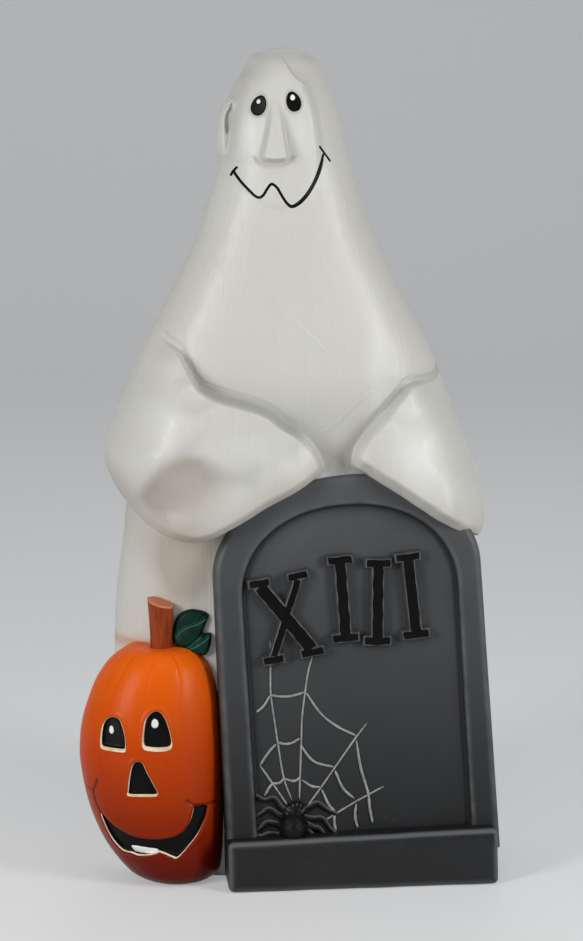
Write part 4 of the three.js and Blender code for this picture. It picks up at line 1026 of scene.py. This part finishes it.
def make_plinth():
    line = rounded_box_line(-78, 206, 0, 54, 61, 7)
    middle = np.array([64.0, 28.0])
    front = SLAB_Y - 15
    normal = np.gradient(np.vstack([line[-1:], line, line[:1]]), axis=0)[1:-1]
    normal /= np.linalg.norm(normal, axis=1)[:, None]
    normal = np.stack([-normal[:, 1], normal[:, 0]], 1)
    # how far inside the line, how deep, wear
    edge = [(0, PARTING_Y, 0), (0, -60, 0), (0, front + 12, 0), (0, front + 7, 0.05),
            (0.5, front + 4.3, 0.3), (1.6, front + 2, 0.55), (3.3, front + 0.6, 0.45),
            (5.6, front + 0.05, 0.12), (8, front, 0)]
    rings = []
    for inset, y, wear in edge:
        p = line + normal * inset
        on_top = step(p[:, 1], 46, 53)
        # Painted shade on the ledge's top, and the plinth darker towards its foot
        painted_shade = 0.7 * on_top * (wear < 0.2) + 0.3 * step(p[:, 1], 10, 0)
        rings.append(ring(p, y, wear * (1 + 0.3 * on_top), painted_shade))
    for share in (0.9, 0.72, 0.5, 0.25, 0):
        rings.append(ring(middle + (p - middle) * share, front + 0.1 * (1 - share)))
    rings = np.array(rings)
    grid, x, z = rings[..., :3], rings[..., 0], rings[..., 2]
    grid[..., 1] += (0.4 * np.sin(x * 0.06) + 0.3 * np.sin(x * 0.13 + z * 0.2)) * (grid[..., 1] < -110)
    return tiled("plinth", grid, [STONE], (), {"wear": rings[..., 3], "painted_shade": rings[..., 4]}, closed=True)


def relief(name, x_range, z_range, gap, field, materials, place):
    """A raised piece over a grid. field gives its height, its outline's distance, masks and layers."""
    x, z = np.meshgrid(np.arange(*x_range, gap), np.arange(*z_range, gap))
    height, outside, masks, layers = field(x, z)
    grid = place(x, height, z)
    obj = tiled(name, grid, [materials[0]] + list(materials), [outside] + masks, layers)
    b = bmesh.new()
    b.from_mesh(obj.data)
    bare = [f for f in b.faces if f.material_index == 0]
    bmesh.ops.delete(b, geom=bare, context="FACES")
    loose = [v for v in b.verts if not v.link_faces]
    bmesh.ops.delete(b, geom=loose, context="VERTS")
    b.to_mesh(obj.data)
    b.free()
    obj.data.materials.pop(index=0)
    return obj


def on_panel(x, height, z):
    return stand(np.stack([x, PANEL_SINK + 0.4 - height, z], -1))


def strokes(bars, cx, cz, turn):
    """Distance from a numeral made of bars: rows of ends and half width, about its middle."""

    def field(x, z):
        u, v = turned(x - cx, z - cz, math.radians(turn))
        best = np.full(x.shape, np.inf)
        for (ax, az), (bx, bz), half in bars:
            long = math.hypot(bx - ax, bz - az)
            dx, dz = (bx - ax) / long, (bz - az) / long
            a = (u - ax) * dx + (v - az) * dz
            o = np.abs((v - az) * dx - (u - ax) * dz)
            qx, qz = np.abs(a - long / 2) - long / 2, o - half
            d = np.hypot(np.clip(qx, 0, None), np.clip(qz, 0, None)) + np.minimum(np.maximum(qx, qz), 0)
            best = np.minimum(best, d)
        return best

    return field


ONE = [((0, -41), (0, 41), 6.6), ((-13.5, 40.5), (13.5, 40.5), 4.8), ((-14.5, -40.5), (14.5, -40.5), 5)]
TEN = [
    ((-21, 38), (21, -38), 7.6), ((20, 38), (-20, -38), 4.6), ((-32, 40.5), (-9, 40.5), 4.6),
    ((9, 40.5), (31, 40.5), 4.6), ((-32, -40.5), (-9, -40.5), 4.8), ((8, -40.5), (33, -40.5), 4.8),
]
NUMERALS = [strokes(TEN, -69, 248, 7), strokes(ONE, -9, 263, 1), strokes(ONE, 27, 257, -4),
            strokes(ONE, 63, 261, 3)]


def numeral_field(x, z):
    inside = np.min([n(x, z) for n in NUMERALS], 0) - 1.2
    height = 9.2 * rounding(-inside, 2.6, 2.4)
    wobble = 0.5 * np.sin(x * 0.33) * np.sin(z * 0.29)
    return height, inside, [inside + 2.5 + wobble], {}


# the rays first, then the strands between them
WEB_RAYS = 5
WEB_LINES = [
    [(-105, 95), (-90, 70), (-79, 51)],
    [(-86, 224), (-88, 190), (-89, 168), (-87, 142), (-85, 118), (-81, 80), (-74, 56)],
    [(-43, 206), (-49, 188), (-53, 169), (-58, 142), (-60, 121), (-64, 79), (-66, 56)],
    [(9, 130), (-4, 115), (-28, 85), (-44, 65), (-59, 47)],
    [(23, 62), (5, 54), (-8, 48), (-30, 37), (-41, 31)],
    [(-105, 151), (-97, 157), (-90, 167)],
    [(-90, 168), (-80, 165.5), (-68, 165), (-54, 168)],
    [(-52, 167), (-39, 145), (-23, 130), (-3, 118)],
    [(-3, 113), (0, 84), (6, 57), (7, 40), (9, 25)],
    [(-105, 95), (-96, 107), (-87, 116)],
    [(-86, 118), (-78, 115.5), (-70, 116), (-62, 120)],
    [(-61, 113), (-55, 102), (-46, 93), (-28, 87)],
    [(-27, 83), (-20, 64), (-9, 52)],
    [(-7, 46), (-9, 33), (-7, 21)],
    [(-102, 63), (-94, 74), (-86, 75), (-80, 80)],
    [(-80, 79), (-74, 76.5), (-69, 76), (-64, 79)],
    [(-62, 76), (-53, 69), (-44, 67)],
    [(-42, 64), (-36, 48), (-30, 40)],
    [(-30, 40), (-31, 29), (-30, 19)],
]


def make_web():
    strands = []
    for k, line in enumerate(WEB_LINES):
        p = spline(line, per=6)
        across_ray = k >= WEB_RAYS
        t = np.linspace(0, 1, len(p))
        radius = (1.4 if across_ray else 1.0) * (0.55 + 0.45 * np.minimum(1, 9 * np.minimum(t, 1 - t)))
        radius *= 1 + 0.12 * np.sin(p[:, 0] * 0.9 + p[:, 1] * 0.7)
        y = PANEL_SINK - 0.35 - 0.4 * across_ray + uneven(p[:, 0], p[:, 1])
        points = stand(np.stack([p[:, 0], y, p[:, 1]], 1))
        strands.append(tube(f"strand_{k}", points, radius, WEB, 8))
    return joined("web_relief", strands)


SPIDER_LEGS = [
    [(-80, 44), (-87, 50), (-93, 59), (-103, 58), (-110, 63)],
    [(-82, 38), (-89, 41), (-98, 48), (-105, 45), (-111, 42)],
    [(-84, 31), (-92, 32), (-101, 34), (-107, 30), (-112, 27)],
    [(-83, 24), (-90, 20), (-100, 22), (-108, 20), (-112, 21)],
    [(-62, 43), (-55, 47), (-48, 50), (-41, 45), (-36, 41), (-30, 38)],
    [(-61, 36), (-53, 34), (-44, 33.5), (-40, 28), (-36, 22), (-30, 16)],
    [(-61, 30), (-54, 25), (-48, 23), (-43, 17), (-39, 11)],
    [(-62, 25), (-57, 19), (-52, 14), (-47, 10)],
]
SPIDER_KNOBS = [
    (-78, 49.5, 2.2), (-74, 51.5, 2.4), (-69.5, 52.5, 2.5), (-65.5, 51, 2.3), (-62, 48.5, 2),
    (-81, 44, 2.2),
]


def spider_field(x, z):
    body = oval(x, z, -74.5, 27, 15.5, 19.5)
    head = oval(x, z, -71, 45, 10.5, 8.5)
    height = 21 * rounding(1 - body, 1)
    height = smooth_max(height, 11.5 * rounding(1 - head, 1), 3)
    height += 0.35 * np.sin(x * 1.3 + 0.5 * np.sin(z)) * np.sin(z * 1.15) * step(-body, -1, -0.8)
    outside = np.minimum((body - 1) * 15, (head - 1) * 9)
    wear = np.zeros(x.shape)
    for leg in SPIDER_LEGS:
        line = spline(leg, per=5)
        reach = np.hypot(x - leg[0][0], z - leg[0][1])
        half = 3.7 - 1.2 * step(reach, 4, 36)
        d = away(line, x, z)
        rise = 5.6 * rounding(half - d, half)
        side = sided(line, x, z) * (1 if leg[0][0] < -71 else -1)
        wear += 0.6 * bump(side - half * 0.85, 0.7) * (d < half * 1.05) * (body > 1.02)
        height = np.maximum(height, rise)
        outside = np.minimum(outside, d - half)
    for kx, kz, r in SPIDER_KNOBS:
        d = np.hypot(x - kx, z - kz)
        height = np.maximum(height, 9.5 * rounding(r - d, r))
        outside = np.minimum(outside, d - r)
        wear += 0.35 * bump(d, r * 0.5)
    return height, outside, [], {"wear": np.clip(wear, 0, 0.8)}


stone = make_stone()
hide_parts("gravestone")
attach(stone, "shell")

numerals = relief("numerals", (-116, 92), (196, 316), 0.8, numeral_field,
                  [NUMERAL_SIDE, BLACK], on_panel)
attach(numerals, "shell")

web = make_web()
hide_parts("spider_web")
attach(web, "shell")

spider = relief("spider_relief", (-116, -24), (6, 70), 0.7, spider_field,
                [spider_paint()], on_panel)
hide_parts("spider")
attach(spider, "shell")

# The pumpkin
# height, left, right, half depth
PUMPKIN = [
    (0, -153, -98, 33), (2.5, -164.5, -88.5, 41), (7, -174, -83, 46.5), (14, -182, -79.5, 51.5),
    (30, -194.7, -77.5, 57.5), (52, -207.3, -76.5, 61.5), (85, -219.5, -76, 65), (126, -227, -76, 66),
    (150, -227.2, -77, 65.5), (171, -224.5, -79, 64), (193, -218, -80.6, 61.5), (214, -209.5, -84.4, 57),
    (232, -197.5, -91.2, 50.5), (243, -184.5, -102, 43), (249.5, -172, -114, 34), (252, -160, -126, 24),
]
PUMPKIN_EYES = [
    [
        (-194, 185.5), (-199, 183), (-202.8, 177), (-204.7, 167.5), (-205.2, 159.5), (-204.5, 155.3),
        (-200.5, 154.6), (-189.5, 154.4), (-184, 154.4), (-182, 156), (-182.1, 164.5), (-183.4, 172.5),
        (-186.2, 181.2), (-189.5, 185),
    ],
    [
        (-150, 193.5), (-156, 191), (-160.2, 184.6), (-162, 175.6), (-162.9, 165.5), (-162, 159.4),
        (-157.6, 157.6), (-145.5, 156.5), (-137.3, 157.4), (-135.1, 160.5), (-135.6, 166.5),
        (-137.7, 175.8), (-141, 185), (-145, 191.3),
    ],
]
PUMPKIN_NOSE = [
    (-173.5, 139.5), (-168.8, 142), (-164.6, 140), (-161, 131.5), (-157, 124), (-153, 115.6),
    (-150, 110.2), (-150.8, 107.9), (-156, 107.6), (-164, 107.6), (-178.2, 107.5), (-178.7, 110.7),
    (-177.6, 121.5), (-176, 132),
]
PUMPKIN_MOUTH = [
    (-206.3, 80.3), (-198.4, 72.6), (-186.4, 65), (-172.4, 59.6), (-154.3, 58), (-138, 58.8),
    (-125.6, 63), (-117.7, 71.7), (-113.1, 82.9), (-111.4, 89.6), (-106.7, 89.7), (-98.1, 88.3),
    (-98.1, 84.7), (-100.3, 75.5), (-106.7, 62.5), (-117.3, 49.7), (-128.7, 38.2), (-133.8, 39.3),
    (-140, 42.5), (-147.2, 45.5), (-150.2, 44), (-160, 41.2), (-169.4, 40.2), (-175.4, 41.8),
    (-184.4, 42.5), (-193.4, 51.3), (-200.4, 63.6),
]
PUMPKIN_TOOTH = [
    (-175.8, 48.4), (-162.4, 47.9), (-149, 46.2), (-150.3, 43.6), (-158.3, 42), (-169.4, 41.6),
    (-173.6, 43.3),
]
PUMPKIN_GLINTS = [(-195.3, 172, 2.4, 4.2, 0), (-151.3, 180.4, 3.6, 4.8, 0)]
# Cream rims round the openings, the plastic's own colour: how far each is shifted down, and how wide.
# Shifted down, a rim is widest at the bottom, where the bevel faces up; that widening is painted light.
PUMPKIN_BEVELS = [(1.9, 1.2), (2.3, 1.5), (1.4, 0.8), (1.2, 0.2)]
PUMPKIN_TICKS = [
    [(-220, 105.5), (-217, 105), (-213.7, 105)],
    [(-210, 118), (-212, 110.6), (-213.8, 103), (-211.3, 91), (-207, 82)],
    [(-119.5, 98), (-114.4, 94.3), (-109, 92), (-96, 90), (-88, 90)],
]


def pumpkin_section(z):
    path = spline(PUMPKIN, per=10)
    order = np.maximum.accumulate(path[:, 0])
    return [np.interp(z, order + np.arange(len(order)) * 1e-7, path[:, k]) for k in (1, 2, 3)]


def make_pumpkin():
    rows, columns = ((260, 420))
    share = (1 - np.cos(np.linspace(0, math.pi, rows))) / 2 * 0.75 + np.linspace(0, 1, rows) * 0.25
    z = PUMPKIN_HIGH * share
    left, right, deep = [c[:, None] for c in pumpkin_section(z)]
    front_part = np.linspace(math.pi, 2 * math.pi, int(columns * 0.74), endpoint=False)
    back_part = np.linspace(0, math.pi, columns - len(front_part), endpoint=False)
    turn = np.concatenate([front_part, back_part])[None]
    middle, half = (left + right) / 2, (right - left) / 2
    ribs = 1 - np.abs(np.sin(turn * 5.5 + 0.35)) ** 0.6
    high = (z / PUMPKIN_HIGH)[:, None]
    size = 1 - (0.004 + 0.022 * step(high, 0.8, 0.98) + 0.01 * step(high, 0.2, 0.0)) * ribs**2.2
    x = middle + half * size * np.cos(turn)
    y = PUMPKIN_Y + deep * size * np.sin(turn)
    zz = np.repeat(z[:, None], turn.shape[1], 1)
    dip = 4 * hill(x, y, STEM_X, STEM_Y, 26, 26) * step(high, 0.93, 1.0)
    in_front = y < PUMPKIN_Y
    shapes = PUMPKIN_EYES + [PUMPKIN_NOSE, PUMPKIN_MOUTH]
    apart = [np.where(in_front, within(s, x, zz, 5), FAR) for s in shapes]
    openings = np.min(apart, 0)
    bevel = [within(s, x + 0.6, zz + down, 5) - wide for s, (down, wide) in zip(shapes, PUMPKIN_BEVELS)]
    bevel = np.minimum(np.where(in_front, np.min(bevel, 0), FAR), np.min(apart[:3], 0) - 0.5)
    ticks = np.min([away(spline(t), x, zz) for t in PUMPKIN_TICKS], 0)
    ticks = np.where(in_front, ticks, FAR)
    tooth = within(PUMPKIN_TOOTH, x, zz)
    whites = np.where(in_front, np.minimum(eyes(x, zz, PUMPKIN_GLINTS), tooth), FAR)
    y = y + 4.2 * step(-openings, -0.4, 1.6) + 1.1 * step(-openings, -2.4, 0)
    y = y - 0.9 * bump(openings - 3.4, 1.6) + 1.4 * bump(ticks, 1.3) - 1.6 * step(-whites, -0.6, 0.8)
    # Dark tick lines, partly their own dark paint and partly painted shade in their grooves, and a painted
    # shadow on the side by the slab
    painted_shadow_and_tint = 0.75 * bump(ticks, 1.3) + 0.35 * step(x, -100, -80) * step(zz, 236, 150)
    # Painted shade in the rib grooves near the top
    painted_shadow_and_tint += 0.3 * ribs**8 * step(high, 0.78, 0.97)
    grid = np.stack([x, y, np.clip(zz - dip, 0, None)], -1)
    low, top = [np.repeat(end.mean(1, keepdims=True), grid.shape[1], 1) for end in (grid[:1], grid[-1:])]
    grid = np.concatenate([low, grid, top], 0)
    masks = [padded_rows(m, 1, 1) for m in (bevel, openings, whites)]
    return tiled("pumpkin_looks", grid, [ORANGE, CREAM, BLACK, WHITE], masks,
                 {"painted_shadow_and_tint": padded_rows(np.clip(painted_shadow_and_tint, 0, 0.8), 1, 1)}, closed=True)


def make_stem():
    rows, count = 40, 98
    rings = []
    foot, high = PUMPKIN_HIGH - 6, 51.5
    turn = np.linspace(0, 2 * math.pi, count, endpoint=False)
    for k in range(rows + 7):
        t = min(k / rows, 1)
        shrink = 1 - max(0, k - rows) / 6
        flutes = np.abs(np.sin(3.5 * (turn + 0.25 * t)))
        lump = 1 + 0.09 * (flutes - 0.6) + 0.03 * np.sin(2 * turn + 4 * t)
        r = (10.2 + 3.3 * t**1.4 + 1.2 * (1 - t) ** 6) * lump * shrink
        x = STEM_X + r * np.cos(turn) + 0.6 * math.sin(3 * t) - 0.6 * t
        y = STEM_Y + 0.86 * r * np.sin(turn) - 2 * t
        slant = (-0.27 * (x - STEM_X) + 0.16 * (y - STEM_Y + 2)) * t**2
        z = foot + high * t + slant - 1.2 * (1 - shrink)
        rings.append(np.stack([x, y, z], -1))
    grid = np.array(rings)
    tip, edge = np.zeros((2, *grid.shape[:2]))
    tip[rows - 1 :] = 1
    edge[rows - 1 : rows + 1] = 1
    return tiled("stem_looks", grid, [STEM_PAINT], (), {"tip": tip, "wear": edge}, closed=True)


UPPER_LEAF = [
    (-129.4, 254), (-130.2, 262), (-128.6, 272.3), (-125, 280.5), (-119.3, 286), (-112, 288.8),
    (-104, 288.6), (-97, 286.8), (-92.7, 283), (-93.9, 277.7), (-97, 270.5), (-100.5, 263), (-106, 255.5),
    (-112.5, 250), (-118.5, 247.5), (-124.5, 248.5),
]
LOWER_LEAF = [
    (-119, 248), (-112.6, 254.5), (-106.4, 260), (-100.7, 265.2), (-97, 263.8), (-90.7, 264.2),
    (-90.3, 257), (-91.8, 249), (-94.5, 242.5), (-100.4, 240.6), (-108.6, 242.8), (-114.5, 245.6),
]
VEINS = {"upper": [(-127, 261), (-120.5, 268), (-114.5, 271.5), (-104, 275.5), (-94, 282.3)],
         "lower": [(-116, 247), (-108, 251), (-99, 257), (-92, 263)]}
SIDE_VEINS = {
    "upper": [[(-119, 269), (-119, 276), (-115, 283)], [(-110, 273), (-108, 280), (-103, 285)],
              [(-113, 272), (-106, 268), (-101, 268)], [(-122, 266), (-117, 259), (-112, 256)]],
    "lower": [[(-108, 251), (-106, 256), (-102, 260)], [(-102, 255), (-97, 251), (-93, 251)],
              [(-110, 249), (-105, 246), (-100, 245)]],
}


def leaf_field(outline, key, high):
    def field(x, z):
        inside = within(outline, x, z, 6)
        vein = away(spline(VEINS[key]), x, z)
        height = high * rounding(-inside, 4.5) + 1.2 * np.minimum(vein / 7, 1)
        height -= 1.3 * bump(vein, 0.9)
        wear = 0.75 * bump(vein - 1.1, 0.55) * step(-inside, 0.5, 2)
        for line in SIDE_VEINS[key]:
            height -= 0.5 * bump(away(spline(line), x, z), 0.8)
        return height, inside, [], {"wear": wear}

    return field


def on_robe(x, height, z):
    cols = [c.reshape(z.shape) for c in columns_of(z.ravel())]
    return np.stack([x, PARTING_Y - robe(x, cols, cols[4]) + 0.6 - height, z], -1)


pumpkin = make_pumpkin()
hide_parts("pumpkin")
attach(pumpkin, "shell")

stem = make_stem()
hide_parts("pumpkin_stem")
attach(stem, "shell")

for name, outline, high in (("upper", UPPER_LEAF, 7), ("lower", LOWER_LEAF, 9)):
    leaf = relief(f"leaf_{name}_looks", (-136, -84), (238, 298), 0.6, leaf_field(outline, name, high),
                  [LEAF_PAINT], on_robe)
    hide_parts(f"pumpkin_leaf_{name}")
    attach(leaf, "shell")

# The lamp kit
for material, nodes in (
    (HOLDER, ("lamp_holder_body", "lamp_holder_cap", "bulb_base_insulator")),
    (STEEL, ("holder_clip_left", "holder_clip_right", "bulb_stem_and_filament")),
    (BRASS, ("holder_screw_shell", "holder_centre_contact", "bulb_screw_base")),
    (SOLDER, ("bulb_contact_tip",)),
    (GLASS, ("bulb_glass",)),
):
    for node in nodes:
        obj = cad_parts[node]
        obj.data.materials.clear()
        obj.data.materials.append(material)

# Floor, light and camera
def floor_paint(colour):
    """A pale floor that looks lighter to the camera than the light it gives back."""
    f = Finish("pale_floor", colour, roughness=0.6)
    seen = f.node("ShaderNodeLightPath").outputs
    rays = f.sums(*[(seen[f"Is {k} Ray"], FLOOR_GLOW) for k in ("Camera", "Glossy", "Transmission")])
    f.shader.inputs["Emission Color"].default_value = (*colour, 1)
    f.put(f.shader.inputs["Emission Strength"], rays)
    f.over(f.noise(3, detail=2), [c * 0.985 for c in colour])
    return f.done()


FLOOR_GLOW = 0.48
FLOOR_WIDE, FLOOR_FRONT, FLOOR_BACK, WALL_HIGH, SWEEP = 6000, -5000, 5400, 4000, 1200


def make_floor():
    path = [(FLOOR_FRONT, 0), (FLOOR_BACK - SWEEP, 0)]
    path += [(FLOOR_BACK - SWEEP + SWEEP * math.sin(a), SWEEP - SWEEP * math.cos(a))
             for a in np.linspace(0, math.pi / 2, 24)[1:]]
    path.append((FLOOR_BACK, WALL_HIGH))
    verts = [(x, y, z) for y, z in path for x in (-FLOOR_WIDE, FLOOR_WIDE)]
    faces = [[2 * k, 2 * k + 1, 2 * k + 3, 2 * k + 2] for k in range(len(path) - 1)]
    floor = mesh_object("floor", verts, faces, [floor_paint((0.56, 0.565, 0.57))])


def lamp(name, place, aim, size, power):
    data = bpy.data.lights.new(name, "AREA")
    data.shape = "RECTANGLE"
    data.size, data.size_y = size
    data.energy = power
    obj = bpy.data.objects.new(name, data)
    obj.location = place
    obj.rotation_euler = (Vector(aim) - Vector(place)).to_track_quat("-Z", "Y").to_euler()
    bpy.context.scene.collection.objects.link(obj)


make_floor()
lamp("left_softbox", (-1.85, -1.4, 1.05), (0, 0, 0.5), (0.6, 1.3), 33)
lamp("right_softbox", (1.8, -1.5, 1.05), (0, 0, 0.5), (0.6, 1.3), 32)
lamp("top_softbox", (0.0, -1.1, 2.2), (0, 0, 0.5), (1.2, 0.8), 4)
lamp("back_softbox", (0.3, 2.3, 2.3), (0, 0.1, 0.4), (1.2, 1.2), 5)

world = bpy.data.worlds.new("soft_room")
bpy.context.scene.world = world
world.use_nodes = True
background = world.node_tree.nodes["Background"].inputs
background["Color"].default_value = (0.92, 0.94, 0.97, 1)
background["Strength"].default_value = 0.22

camera = bpy.data.objects.new("camera", bpy.data.cameras.new("camera"))
bpy.context.scene.collection.objects.link(camera)
bpy.context.scene.camera = camera
FOCAL_PIXELS, PICTURE_HIGH, SENSOR = 2300, 941, 36
camera.data.lens = FOCAL_PIXELS * SENSOR / PICTURE_HIGH
AIM, AZIMUTH, ELEVATION, AWAY = Vector((0, 0, 0.423)), math.radians(-6), math.radians(9), 2.43
LEVEL = math.cos(ELEVATION)
camera.location = AIM + AWAY * Vector(
    (math.sin(AZIMUTH) * LEVEL, -math.cos(AZIMUTH) * LEVEL, math.sin(ELEVATION)))
camera.rotation_euler = (AIM - camera.location).to_track_quat("-Z", "Y").to_euler()
bpy.context.scene.view_settings.view_transform = "Standard"
